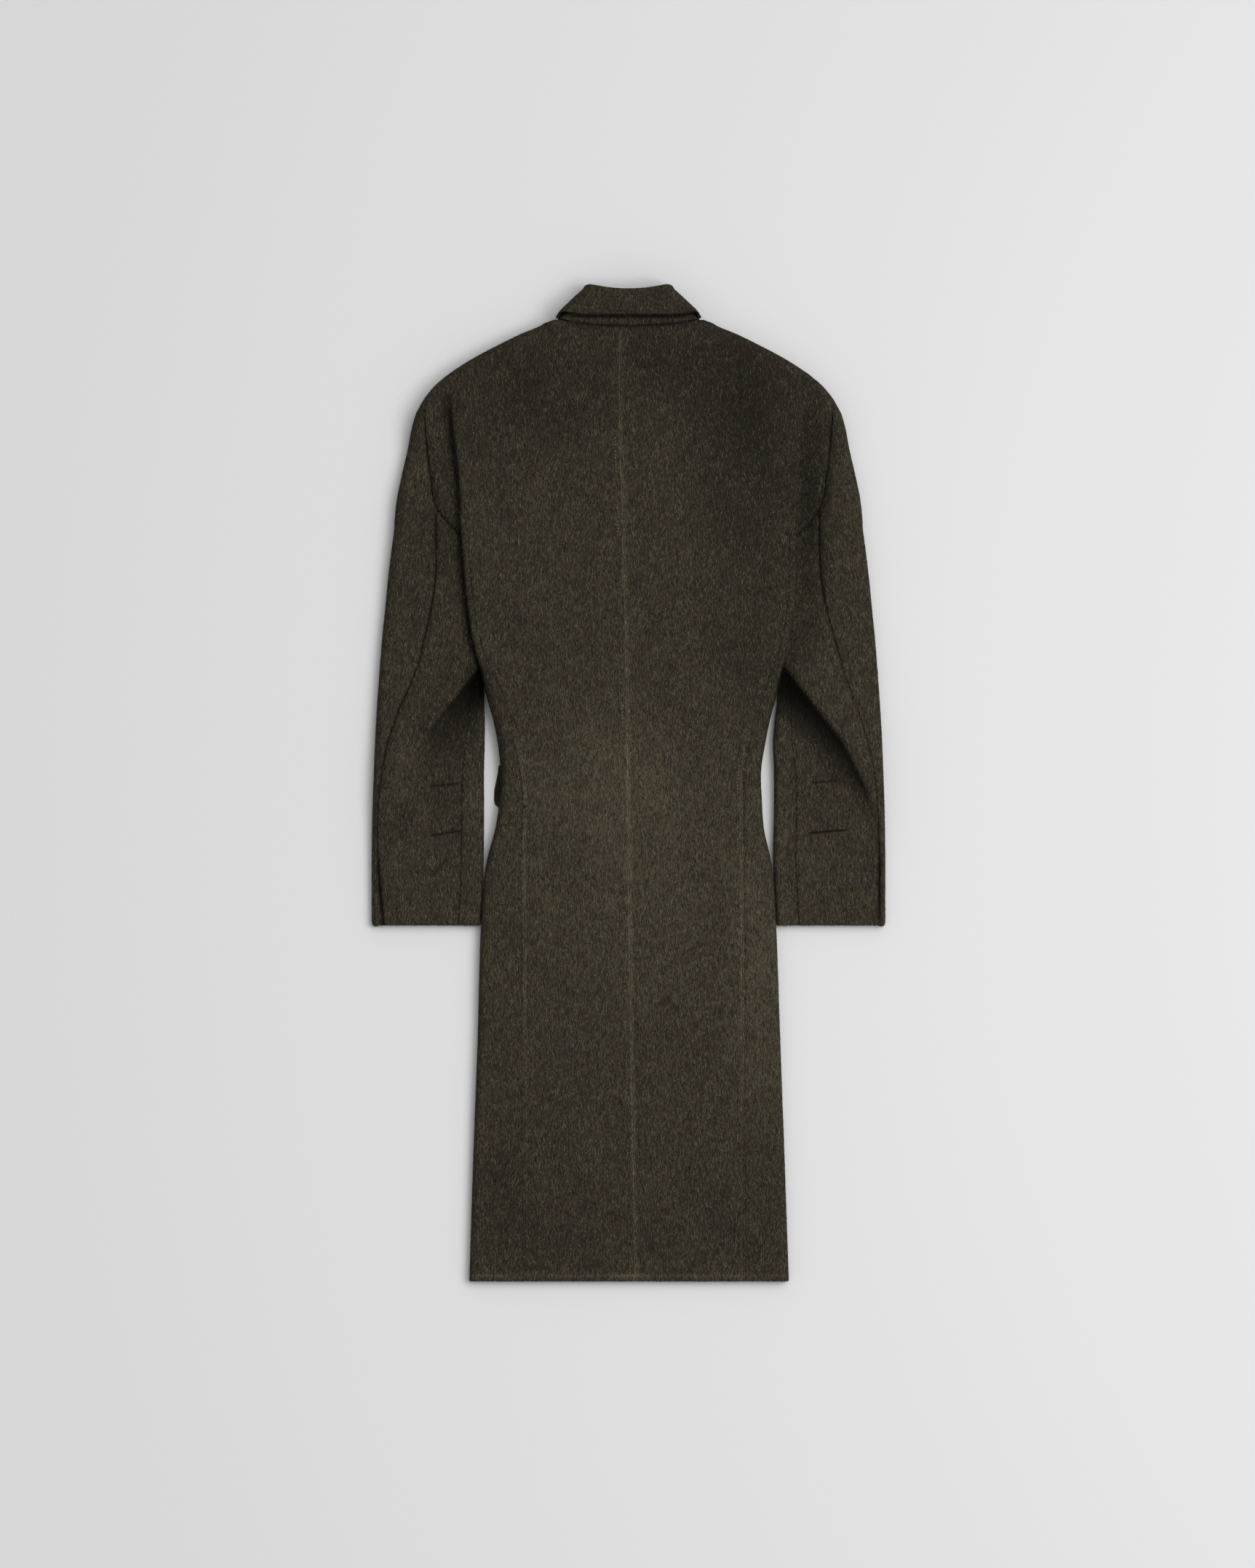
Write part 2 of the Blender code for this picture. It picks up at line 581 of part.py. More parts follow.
def collar_fall():
    """The part that turns over at the fold and lies on the stand."""
    top = COLLAR[-1]
    fold_start = top.rise + 2 * CURVED_GAP
    rows = []
    for angle in np.radians([-90, -45, 0, 45, 90]):
        share = (1 + math.sin(angle)) / 2
        high = STAND_HIGH + (FALL_HIGH - STAND_HIGH) * share
        low = STAND_LOW + (HALF - STAND_LOW) * share
        width = top.stand + (top.fall - top.stand) * share
        rise = fold_start + (COLLAR_TOP - HALF - fold_start) * math.cos(angle)
        rows.append(collar_row(collar_section(width, high, low), rise))
    for row in reversed(COLLAR[1:-1]):
        rows.append(collar_row(collar_section(row.fall, FALL_HIGH, HALF), row.rise))
    edge = collar_section(along(COLLAR, "rise", "fall", FALL_EDGE), FALL_HIGH, HALF)
    droop = ease(1.0, 9.0, FALL_HIGH - edge[:, 1])
    rise = (FALL_EDGE + FALL_EDGE_RISE * ease(50, 76, abs(edge[:, 0]))) * (1 - droop) + FALL_END * droop
    rows.append(row_of(1, edge, -rise))
    return [np.array(rows)]


# The pocket flap
def pocket_flap():
    """A flap on the left front, under the coat, whose end reaches past the waist."""
    top, bottom = FLAP_DROPS
    edge = along(BODY, "drop", "left", (top + bottom) / 2)
    rows = []
    for share in np.linspace(0, 1, 6):
        drop = top + share * (bottom - top)
        end = edge + FLAP_PROUD * (0.35 + 0.65 * ease(0.0, 0.7, share))
        corner = max(0.0, drop - (bottom - FLAP_CORNER))
        end -= FLAP_CORNER - math.sqrt(FLAP_CORNER ** 2 - corner ** 2)
        out = np.linspace(edge - FLAP_LENGTH, end, 6)
        rows.append(row_of(-1, np.column_stack([out, np.full(6, HALF)]), drop))
    return [np.array(rows)]


for thing in list(bpy.data.objects):
    bpy.data.objects.remove(thing, do_unlink=True)

for hand in (-1, 1):
    word = side_name(hand)
    make_panel("back_" + word, back_panel(hand))
    make_panel("side_" + word, side_panel(hand))
    make_panel("front_" + word, front_panel(hand))
    make_panel("top_sleeve_" + word, top_sleeve(hand))
    make_panel("under_sleeve_" + word, under_sleeve(hand))
make_panel("collar_stand", collar_stand())
make_panel("collar_fall", collar_fall())
make_panel("pocket_flap_left", pocket_flap())
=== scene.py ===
# %% [markdown]
# A brushed wool coat, laid on its front
# This lesson dresses a packed frame of a long wool coat. The frame holds plain solids for the panels,
# and each panel is made again here as a fine shell with rounded edges, creases, stitches and nap.
# The frame comes first, so every piece is placed by its sizes and nothing has to be fitted later.

# %% Load the frame
from collections import namedtuple

import bpy
import numpy as np
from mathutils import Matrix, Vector


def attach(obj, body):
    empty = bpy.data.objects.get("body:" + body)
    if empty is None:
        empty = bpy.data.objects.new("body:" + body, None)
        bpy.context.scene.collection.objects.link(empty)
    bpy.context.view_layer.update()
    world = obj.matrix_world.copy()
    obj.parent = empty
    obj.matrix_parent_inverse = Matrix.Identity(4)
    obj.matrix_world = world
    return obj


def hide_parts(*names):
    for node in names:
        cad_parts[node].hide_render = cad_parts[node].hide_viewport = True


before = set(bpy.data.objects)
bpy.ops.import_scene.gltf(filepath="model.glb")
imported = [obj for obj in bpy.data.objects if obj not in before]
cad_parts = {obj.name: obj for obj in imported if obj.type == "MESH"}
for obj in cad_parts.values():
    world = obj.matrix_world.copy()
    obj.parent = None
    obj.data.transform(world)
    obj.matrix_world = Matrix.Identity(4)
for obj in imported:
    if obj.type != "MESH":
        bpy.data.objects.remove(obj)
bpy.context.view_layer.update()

# %% [markdown]
# The pattern's numbers
# A pattern cutter keeps a coat as a table of widths down its length. Nearly the same tables shaped the
# solids, so the shells lie on them within a millimetre or two. Lengths are millimetres: `drop` is the
# distance below the nape and `out` the distance from the middle line. A smooth curve through the rows
# gives every value between.

# %% Tables of the cut
MM = 0.001
CLOTH = 2.6
HALF = CLOTH / 2
SEAM_GAP = 0.3
CURVED_GAP = 0.8
NAPE_Y = 533.4
HEM_DROP = 1116.0
UNDERARM = 243.0
CUFF_DROP = 700.0
NECK_HALF = 88.0
LAYER = CLOTH + 0.4
LEFT, RIGHT = -1, 1


def table(columns, rows):
    """Rows of numbers with named columns. The first column is the key that the others are read by."""
    Row = namedtuple("Row", columns)
    return [Row(*row) for row in rows]


BODY = table("drop edge_left edge_right height tuck angle seam_left seam_right", [
    (UNDERARM, 195, 195, 32, 28, 90, 190, 190),
    (286, 192, 195.5, 32, 28, 90, 186.5, 190),
    (326, 188, 193, 31, 23, 90, 181.5, 186.5),
    (366, 182, 187, 29, 16, 90, 173, 180),
    (400, 173.5, 180, 28.5, 11, 78, 160.5, 168),
    (430, 166.6, 173, 26.5, 6, 50, 146, 158),
    (458, 158.5, 165.5, 24, 1.5, 12, 138, 149),
    (485, 153, 160, 21, 0.6, 0, 131, 139),
    (519, 149.6, 154.7, 20, 0.6, 0, 124, 132.6),
    (553, 150.5, 155.6, 19, 0.6, 0, 120.7, 131.8),
    (587, 155.6, 158, 18.5, 0.6, 0, 121.5, 132),
    (621, 164.6, 165.6, 18, 0.6, 0, 122.4, 132.2),
    (660, 170, 170.4, 17.5, 0.6, 0, 122.3, 132.4),
    (706, 172.6, 172.6, 17, 0.6, 0, 122, 132.6),
    (825, 176, 176.8, 16, 0.6, 0, 121.5, 133),
    (961, 181, 181.8, 15, 0.6, 0, 121, 133.5),
    (HEM_DROP, 186, 187.2, 14, 0.6, 0, 120, 134),
])
YOKE = table("share fold armhole height turn depth", [
    (0.00, 195, 199, 32, 180, 14),
    (0.10, 196.5, 214, 32, 180, 14),
    (0.24, 197, 226.5, 32, 180, 14),
    (0.42, 199, 230.5, 31.5, 174, 9),
    (0.58, 202.5, 233.5, 31, 150, 4),
    (0.74, 206, 235.5, 30, 95, 3),
    (0.88, 209, 237, 29, 45, 2),
    (1.00, 211, 238, 28, 4, 1.5),
])
SHOULDER = table("out drop", [
    (-12, 0), (20, -0.5), (54, -2.8), (76, -6.2), (NECK_HALF, -7.2), (104, 1.2), (125, 9.8), (150, 22),
    (175, 35), (196, 47.6), (214, 60.4), (228, 73), (238, 85.9), (246.5, 101),
])
CENTRE_SEAM = table("drop out", [
    (-10, -10), (118, -9.4), (204, -6.8), (365, -2.5), (718, 1.7), (HEM_DROP, 8.5),
])
SLEEVE = table("drop outer inner_left inner_right height seam_left seam_right front_seam", [
    (UNDERARM, 274.5, 178, 178, 20.4, 225, 223, 14),
    (286, 280, 176, 177, 18.5, 225, 224.4, 14),
    (326, 284, 175, 177, 17.5, 230, 230.5, 14),
    (366, 288, 172.5, 176.5, 17, 239, 241, 14),
    (395, 290.3, 170.5, 175.5, 17, 246, 249, 14),
    (420, 292.2, 169, 174.5, 17, 256, 257, 15),
    (440, 293.6, 168.5, 173.5, 17, 265, 264, 17),
    (460, 294.9, 168, 171, 17, 273, 271, 19),
    (485, 296.2, 168.2, 169, 17, 281, 279, 22),
    (520, 297.6, 169, 170, 16.5, 288, 286.5, 25),
    (570, 299.3, 169, 170, 15, 293, 291.5, 26),
    (621, 300, 169.4, 169.2, 13.5, 292.5, 293, 26),
    (660, 300, 170.6, 171, 12.5, 290, 293, 26),
    (CUFF_DROP, 300, 173, 173, 12, 286, 293, 26),
])
CAP = table("drop out", [
    (104, 249), (118, 253), (142, 257.5), (170, 264), (205, 271), (225, 273.2), (UNDERARM, 274.5),
])
COLLAR = table("rise stand fall", [
    (8, 82.5, 88.5), (18, 76, 82.5), (28, 63, 71.2), (38, 52, 59.2), (44, 46, 52),
])


def along(rows, column, at):
    """A table's column read at `at`: cubic arcs through the rows, each with its neighbours' slope."""
    keys = np.array([row[0] for row in rows], float)
    values = np.array([getattr(row, column) for row in rows], float)
    slopes = np.gradient(values, keys)
    at = np.asarray(at, float)
    i = np.clip(np.searchsorted(keys, at) - 1, 0, len(keys) - 2)
    width = keys[i + 1] - keys[i]
    p = np.clip((at - keys[i]) / width, 0, 1)
    start = values[i] * (1 + 2 * p) * (1 - p) ** 2 + slopes[i] * width * p * (1 - p) ** 2
    return start + values[i + 1] * p * p * (3 - 2 * p) + slopes[i + 1] * width * p * p * (p - 1)


def ease(low, high, value):
    """0 below low and 1 above high, with the soft cubic 3p^2 - 2p^3 between them."""
    p = np.clip((np.asarray(value, float) - low) / (high - low), 0, 1)
    return p * p * (3 - 2 * p)


def band(low, full, late, end, value):
    """Rises softly from 0 to 1 between low and full, and falls back between late and end."""
    return ease(low, full, value) * (1 - ease(late, end, value))


def side_name(side):
    """The word for a side."""
    return "left" if side < 0 else "right"


def on_side(rows, side, column, at):
    """A table's column read at `at`, or the side's own column where the two sides differ."""
    own = column + "_" + side_name(side)
    return along(rows, own if own in rows[0]._fields else column, at)


print("waist width", sum(on_side(BODY, side, "edge", 519) for side in (LEFT, RIGHT)), "mm")

# %% [markdown]
# A sheet that becomes cloth
# Wool of this weight is about 2.6 mm thick and its cut edges look rounded. A flat grid with a Solidify
# modifier would have square edges, so the shell is worked out here: the middle surface is moved out and
# in along its normals by half the cloth, and less and less towards a free edge, as a quarter circle.
# Both sides then meet in one soft edge, the mesh is closed, and two panels that meet leave a seam groove.

# %% Grids, welding and thickness
EDGE_STEPS = np.array([0.0, 0.12, 0.45, 0.9, HALF])
FACES_UP = (0.05, 0.75)
SEWN_RADIUS = 0.3
INSIDE_PLACE = np.array([3.0, 0.0])
surfaces = {}


def add_object(name, data):
    """A new object in the scene."""
    made = bpy.data.objects.new(name, data)
    bpy.context.scene.collection.objects.link(made)
    return made


def columns_between(start, end, count, soft_start=True, soft_end=True):
    """Rows of places from start to end, evenly spaced, with the edge steps at soft ends."""
    start, end = np.asarray(start, float)[:, None], np.asarray(end, float)[:, None]
    sign = np.sign(end - start)
    first = start + sign * (EDGE_STEPS if soft_start else EDGE_STEPS[:1])
    last = end - sign * (EDGE_STEPS if soft_end else EDGE_STEPS[:1])[::-1]
    even = np.linspace(0, 1, count + 1)[None, 1:-1]
    return np.concatenate([first, first[:, -1:] + (last[:, :1] - first[:, -1:]) * even, last], axis=1)


def spread(start, end, step, soft_start=True, soft_end=True):
    """One such row of places, about `step` apart."""
    inside = abs(end - start) - HALF * (soft_start + soft_end)
    return columns_between([start], [end], int(inside / step), soft_start, soft_end)[0]


def place(side, out, level, drop):
    """Points of the laid coat from sections: x is out on its side, y runs up the coat, z is the level."""
    return np.stack(np.broadcast_arrays(side * out, NAPE_Y - drop, level), axis=-1)


def unit(vectors):
    """The vectors, each divided by its length."""
    return vectors / np.maximum(np.linalg.norm(vectors, axis=-1, keepdims=True), 1e-12)


def run_length(points):
    """How far each row of points lies from the first, measured along the rows between."""
    steps = np.diff(points, axis=0, prepend=points[:1])
    return np.cumsum(np.linalg.norm(steps, axis=-1), axis=0)


def weld(patches):
    """Join grids into one sheet: equal points become one, and each cell becomes a quad."""
    points = np.concatenate([patch[..., :3].reshape(-1, 3) for patch in patches])
    cloth = np.concatenate([patch[..., 3:].reshape(-1, 2) for patch in patches])
    _, first, ids = np.unique(np.round(points, 3), axis=0, return_index=True, return_inverse=True)
    ids = ids.reshape(-1)
    quads, loops, start = [], [], 0
    for patch in patches:
        rows, columns = patch.shape[:2]
        own = (start + np.arange(rows * columns)).reshape(rows, columns)
        cells = np.stack([own[:-1, :-1], own[:-1, 1:], own[1:, 1:], own[1:, :-1]], axis=-1).reshape(-1, 4)
        quads.append(ids[cells])
        loops.append(cloth[cells])
        start += rows * columns
    quads, loops = np.concatenate(quads), np.concatenate(loops)
    whole = (np.sort(quads, axis=1)[:, 1:] != np.sort(quads, axis=1)[:, :-1]).all(axis=1)
    return points[first], quads[whole], loops[whole]


def quad_normals(corners):
    """The cross product of the diagonals of each quad: along its normal, and twice its area long."""
    return np.cross(corners[:, 2] - corners[:, 0], corners[:, 3] - corners[:, 1])


def sheet_normals(points, quads):
    """Unit normals at the points, the sum of the normals of the quads around each."""
    faces = quad_normals(points[quads])
    total = np.zeros_like(points)
    for corner in range(4):
        np.add.at(total, quads[:, corner], faces)
    return unit(total)


def rim_points(quads, count):
    """True for the points on a free edge, which is one that only a single quad has."""
    edges = np.concatenate([quads[:, [k, (k + 1) % 4]] for k in range(4)])
    edges = np.sort(edges, axis=1)
    pairs, uses = np.unique(edges, axis=0, return_counts=True)
    rim = np.zeros(count, bool)
    rim[pairs[uses == 1].ravel()] = True
    return rim


def nearest_rim(points, rim):
    """Each point's distance to the closest point of the free edge, in blocks to spare memory."""
    near, edge = np.empty(len(points)), points[rim]
    for block in np.array_split(np.arange(len(points)), max(len(points) // 2000, 1)):
        gap = points[block][:, None, :] - edge[None, :, :]
        near[block] = np.sqrt((gap ** 2).sum(axis=2).min(axis=1))
    return near


def edge_radius(name, points):
    """Sewn edges are pressed almost square; open edges, at the hem and cuffs, are turned and round."""
    low = points[:, 1] - points[:, 1].min()
    sewn = not name.startswith(("collar", "pocket"))
    return np.where(sewn & (low > 3.0), SEWN_RADIUS, HALF)


def mesh_object(name, points, faces):
    """An object of faces that all have as many corners, from points in millimetres."""
    mesh = bpy.data.meshes.new(name)
    mesh.vertices.add(len(points))
    mesh.vertices.foreach_set("co", (points * MM).ravel())
    mesh.loops.add(faces.size)
    mesh.loops.foreach_set("vertex_index", faces.ravel().astype(np.int32))
    mesh.polygons.add(len(faces))
    mesh.polygons.foreach_set("loop_start", np.arange(0, faces.size, faces.shape[1], dtype=np.int32))
    mesh.update(calc_edges=True)
    return add_object(name, mesh)


def make_cloth(name, patches, relief=None, side=None):
    """A closed shell round a sheet: points go out and in by half * sqrt(1 - (1 - d / radius)^2)."""
    points, quads, loops = weld(patches)
    normals = sheet_normals(points, quads)
    if relief is not None:
        points[:, 2] += ease(*FACES_UP, normals[:, 2]) * relief(side, points)
        normals = sheet_normals(points, quads)
    rim = rim_points(quads, len(points))
    near = np.minimum(nearest_rim(points, rim) / edge_radius(name, points), 1.0)
    swell = (HALF * np.sqrt(1 - (1 - near) ** 2))[:, None] * normals
    inside = np.where(rim, np.arange(len(points)), len(points) + np.arange(len(points)))
    every = np.concatenate([points + swell, points - swell])
    surfaces[name] = (points + swell)[quads]
    faces = np.concatenate([quads, inside[quads][:, ::-1]])
    used, compact = np.unique(faces, return_inverse=True)
    piece = mesh_object(name, every[used], compact.reshape(faces.shape))
    cloth = np.concatenate([loops, loops[:, ::-1] + INSIDE_PLACE])
    layer = piece.data.uv_layers.new(name="cloth")
    layer.data.foreach_set("uv", cloth.astype(np.float32).ravel())
    piece.data.shade_smooth()
    print(name, len(faces) * 2, "triangles", "repaired" if piece.data.validate() else "valid")
    return piece


def with_cloth(side, points, across, down):
    """Add the cloth's own coordinates, in metres, to a grid of points, and turn its faces outwards."""
    own = [np.broadcast_to(value, points.shape[:2])[..., None] * MM for value in (across, down)]
    return np.concatenate([points] + own, axis=-1)[:, ::side]


# %% [markdown]
# Sections of the body
# The coat lies on its fronts, so a section across it is a long flat loop: the back on top, a fold at the
# side, and the front underneath. It is easiest to draw as a walk, the way a turtle draws: go straight,
# turn with a radius, go straight again. The walk is done for all sections at once.

# %% Walks across the coat
SEAM_INSET = 3.0
FOLD_RADIUS = 3.2
INNER_RADIUS = 2.6
SIDE_FRONT = 0.62
LEAN_RADIUS = 3.0
BASE_RADIUS = 5.0
PLAIN_SHARE = 0.47
BODY_STEP = 5.0
RUN_STEPS = 4


def trace(out, level, moves):
    """Walk all sections from (out, level): each move is (length, turn in degrees, steps)."""
    out, level = np.array(out, float), np.array(level, float)
    heading = np.zeros_like(out)
    points = [np.stack([out, level], axis=-1)]
    for length, turn, steps in moves:
        bend = np.radians(turn) / steps + np.zeros_like(out)
        chord = length / steps * np.sinc(bend / (2 * np.pi))
        for _ in range(steps):
            out = out + chord * np.cos(heading + bend / 2)
            level = level + chord * np.sin(heading + bend / 2)
            heading = heading + bend
            points.append(np.stack([out, level], axis=-1))
    return np.stack(points, axis=1)


def resample(paths, lengths):
    """Points of each path at the given distances along it, one row of distances for each path."""
    steps = np.linalg.norm(np.diff(paths, axis=1), axis=2)
    run = np.concatenate([np.zeros((len(paths), 1)), np.cumsum(steps, axis=1)], axis=1)
    columns = [[np.interp(want, far, path[:, k]) for want, far, path in zip(lengths, run, paths)]
               for k in (0, 1)]
    return np.stack(columns, axis=-1)


def centre_out(side, drop):
    """Where a half of the back begins, measured outwards on its own side."""
    return side * along(CENTRE_SEAM, "out", drop) + SEAM_GAP / 2


def body_sections(side, drop):
    """Sections below the armhole from the centre-back seam round the side to the surface."""
    width = on_side(BODY, side, "edge", drop)
    height = along(BODY, "height", drop)
    tuck = np.maximum(along(BODY, "tuck", drop), 0.5)
    angle = np.clip(along(BODY, "angle", drop), 0, 90)
    share = angle / 90
    depth = height - CLOTH
    plain = PLAIN_SHARE * depth
    nose = plain + (FOLD_RADIUS - plain) * share
    base = plain + (BASE_RADIUS - plain) * share
    lean = np.radians(angle)
    down = depth - nose * (1 + np.sin(lean)) - tuck * np.cos(lean) - LEAN_RADIUS * np.sin(lean) - base
    start = centre_out(side, drop)
    run = width - HALF - nose - start
    arc = nose * np.radians(90 + angle)
    moves = [
        (run, 0, RUN_STEPS), (arc / 2, -(90 + angle) / 2, 8), (arc / 2, -(90 + angle) / 2, 8), (tuck, 0, 4),
        (np.maximum(LEAN_RADIUS * lean, 0.4), angle, 4), (np.maximum(down, 0.3), 0, 3),
        (base * np.pi / 2, -90, 8),
    ]
    paths = trace(start, height - HALF, moves)
    paths[:, -1, 1] = HALF
    paths[..., 1] = np.maximum(paths[..., 1], HALF)
    seam = on_side(BODY, side, "seam", drop) - start
    return paths, run, np.minimum(seam, run - SEAM_INSET)


BODY_ROWS = spread(HEM_DROP, UNDERARM, BODY_STEP)
paths, _, _ = body_sections(LEFT, BODY_ROWS)
print("body sections", paths.shape, "lowest level", paths[..., 1].min())

# %% [markdown]
# The back, with its fold over the sleeve
# Each half of the back is one piece of cloth. Low down it lies flat between the two seams. Above the
# underarm it runs on, folds under itself along the sleeve and comes out again to the armhole, which is
# why a soft ridge shows beside each sleeve. At the top it rolls over the shoulder to meet the front.
# The three stretches are grids that share their border points, so welding makes them one sheet.

# %% Back panels
SHOULDER_ROLL = 10.0
NECK_COLUMNS, SHOULDER_COLUMNS, TAIL_COLUMNS = 18, 22, 8
YOKE_ROWS = 46


def run_columns(start, end):
    """Places across the back from the centre seam, with one column at the corner of the neck."""
    neck = np.minimum(NECK_HALF, start + 0.6 * (end - start))
    inner = columns_between(start, neck, NECK_COLUMNS, soft_end=False)
    outer = columns_between(neck, end, SHOULDER_COLUMNS, soft_start=False)
    return np.concatenate([inner, outer[:, 1:]], axis=1)


NECK_COLUMN = NECK_COLUMNS + len(EDGE_STEPS) - 1


def shoulder_inset(level):
    """The neck and shoulder outline as (out, drop), moved in by the roll where it is a shoulder."""
    out = np.linspace(SHOULDER[0].out, SHOULDER[-1].out, 240)
    drop = along(SHOULDER, "drop", out)
    slope = np.gradient(drop, out)
    inset = level * SHOULDER_ROLL * ease(NECK_HALF, NECK_HALF + 14, out) / np.hypot(1.0, slope)
    return out - slope * inset, drop + inset


def yoke_sections(side, share):
    """Sections from the centre seam over the fold to the armhole seam, with each point's drop."""
    fold, armhole, height, turn, depth = (along(YOKE, name, share) for name in YOKE[0]._fields[1:])
    start = centre_out(side, UNDERARM * (1 - share))
    turn = np.maximum(turn, 2.0)
    level = height - HALF
    run = fold - HALF - FOLD_RADIUS - start
    bend = np.radians(turn)
    nose, inner = np.maximum(FOLD_RADIUS * bend, 2.0), np.maximum(INNER_RADIUS * bend, 2.0)
    folded = trace(start + run, level, [(nose, -turn, 12), (depth, 0, 4), (inner, turn, 10)])
    end = np.maximum(armhole - SEAM_GAP / 2, folded[:, -1, 0] + 1.0)
    upper = run_columns(start, start + run - SEAM_INSET)
    tail = columns_between(folded[:, -1, 0], end, TAIL_COLUMNS, soft_start=False)[:, 1:]
    out = np.concatenate([upper, folded[..., 0], tail], axis=1)
    levels = np.concatenate([np.repeat(level[:, None], upper.shape[1], axis=1), folded[..., 1],
                             np.repeat(folded[:, -1:, 1], tail.shape[1], axis=1)], axis=1)
    line_out, line_drop = shoulder_inset(1.0)
    top = np.interp(out, line_out, line_drop)
    return out, levels, UNDERARM + share[:, None] * (top - UNDERARM), upper.shape[1]


def section_length(out, level):
    """Distance along each section from its first point, the cloth's own width."""
    steps = np.hypot(np.diff(out, axis=1), np.diff(level, axis=1))
    return np.concatenate([np.zeros((len(out), 1)), np.cumsum(steps, axis=1)], axis=1)


def shoulder_roll(side, angles):
    """Rows from the back's top edge over the shoulder to the seam with the front."""
    out, level, drop, _ = yoke_sections(side, np.ones(1))
    out, level = out[0, NECK_COLUMN:], level[0, NECK_COLUMN:]
    top_out, _ = shoulder_inset(1.0)
    rows = []
    for lean in angles:
        line_out, line_drop = shoulder_inset(1 - np.cos(lean))
        fall = np.interp(out, top_out, line_drop)
        height = (level + HALF) / 2 + (level - HALF) / 2 * np.sin(lean)
        rows.append(place(side, np.interp(out, top_out, line_out), height, fall))
    rows = np.array(rows)
    rows[0] = place(side, out, level, drop[0, NECK_COLUMN:])
    return rows


YOKE_SHARES = spread(0, UNDERARM, UNDERARM / YOKE_ROWS) / UNDERARM
ROLL_ANGLES = np.radians(np.concatenate([np.linspace(90, -85, 22), [-88, -89.2, -90]]))


def back_panel(side):
    """One half of the back: its lower rows, the yoke with its fold, and the shoulder's roll."""
    drop = BODY_ROWS
    start = centre_out(side, drop)
    _, _, seam = body_sections(side, drop)
    out = run_columns(start, start + seam - SEAM_GAP / 2)
    level = along(BODY, "height", drop) - HALF
    lower = place(side, out, level[:, None], drop[:, None])
    yoke_out, yoke_level, yoke_drop, columns = yoke_sections(side, YOKE_SHARES)
    yoke = place(side, yoke_out, yoke_level, yoke_drop)
    lower[-1] = yoke[0, :columns]
    across = section_length(yoke_out, yoke_level) + yoke_out[:, :1]
    roll = shoulder_roll(side, ROLL_ANGLES)
    rolled = yoke_drop[-1:, NECK_COLUMN:] - run_length(roll)
    return [with_cloth(side, lower, side * out, drop[:, None]),
            with_cloth(side, yoke, side * across, yoke_drop),
            with_cloth(side, roll, side * across[-1:, NECK_COLUMN:], rolled)]


# %% [markdown]
# The side panels
# A side panel starts at the curved side-back seam, goes over the side's edge and ends under the coat.
# Near the armhole its fold lies deep over the sleeve. Further down it becomes a plain round edge.

# %% Side panels
FLAP_LENGTH = 100.0
FLAP_DROPS = (513.0, 563.0)
UPPER_COLUMNS, FLOOR_COLUMNS = 14, 10


def floor_lift(side, out, drop):
    """How far the lower layer rises over the pocket flap, which lies under the left side."""
    top, bottom = FLAP_DROPS
    inner = along(BODY, "edge_left", (top + bottom) / 2) - FLAP_LENGTH
    rows = band(top - 75, top - 28, bottom + 26, bottom + 70, drop)
    return (side < 0) * LAYER * rows * ease(inner - 40, inner - 4, out)


def side_panel(side):
    """From the side-back seam over the side's edge and under to the front."""
    drop = spread(HEM_DROP, UNDERARM + 2 * SEAM_GAP, BODY_STEP)
    paths, run, seam = body_sections(side, drop)
    start = paths[:, 0, 0]
    upper = columns_between(start + seam + SEAM_GAP / 2, start + run, UPPER_COLUMNS, soft_end=False)
    front = SIDE_FRONT * on_side(BODY, side, "edge", drop) + SEAM_GAP / 2
    floor = columns_between(paths[:, -1, 0], front, FLOOR_COLUMNS, soft_start=False)[:, 1:]
    fold = paths[:, RUN_STEPS + 1:]
    out = np.concatenate([upper, fold[..., 0], floor], axis=1)
    level = np.concatenate([np.repeat(paths[:, :1, 1], upper.shape[1], axis=1), fold[..., 1],
                            np.full(floor.shape, HALF)], axis=1)
    level = level + (1 - ease(2.0, 14.0, level - HALF)) * floor_lift(side, out, drop[:, None])
    across = side * (section_length(out, level) + out[:, :1])
    return [with_cloth(side, place(side, out, level, drop[:, None]), across, drop[:, None])]


# %% [markdown]
# The fronts
# The fronts lie under the coat on the surface, one lapped over the other, and slant away to the neck.
# Nobody sees them in the picture, but a turned coat has to be whole, so they are plain and complete.

# %% Front panels
LAP = 40.0
BREAK_DROP = 220.0
NECK_EDGE = 92.0
SHOULDER_SEAM = 1.2
FRONT_STEP = 8.0
FRONT_COLUMNS, WING_COLUMNS = 30, 16


def front_edge(drop):
    """Where a front ends, past the middle below the break and slanting to the neck above it."""
    return -LAP + (LAP + NECK_EDGE) * np.clip((BREAK_DROP - drop) / BREAK_DROP, 0, 1)


def front_level(side, out, drop):
    """The left front is the upper one and steps over the edge of the right front."""
    over = (side < 0) * (1 - ease(LAP + 5, LAP + 29, out))
    return HALF + np.maximum(LAYER * over, floor_lift(side, out, drop))


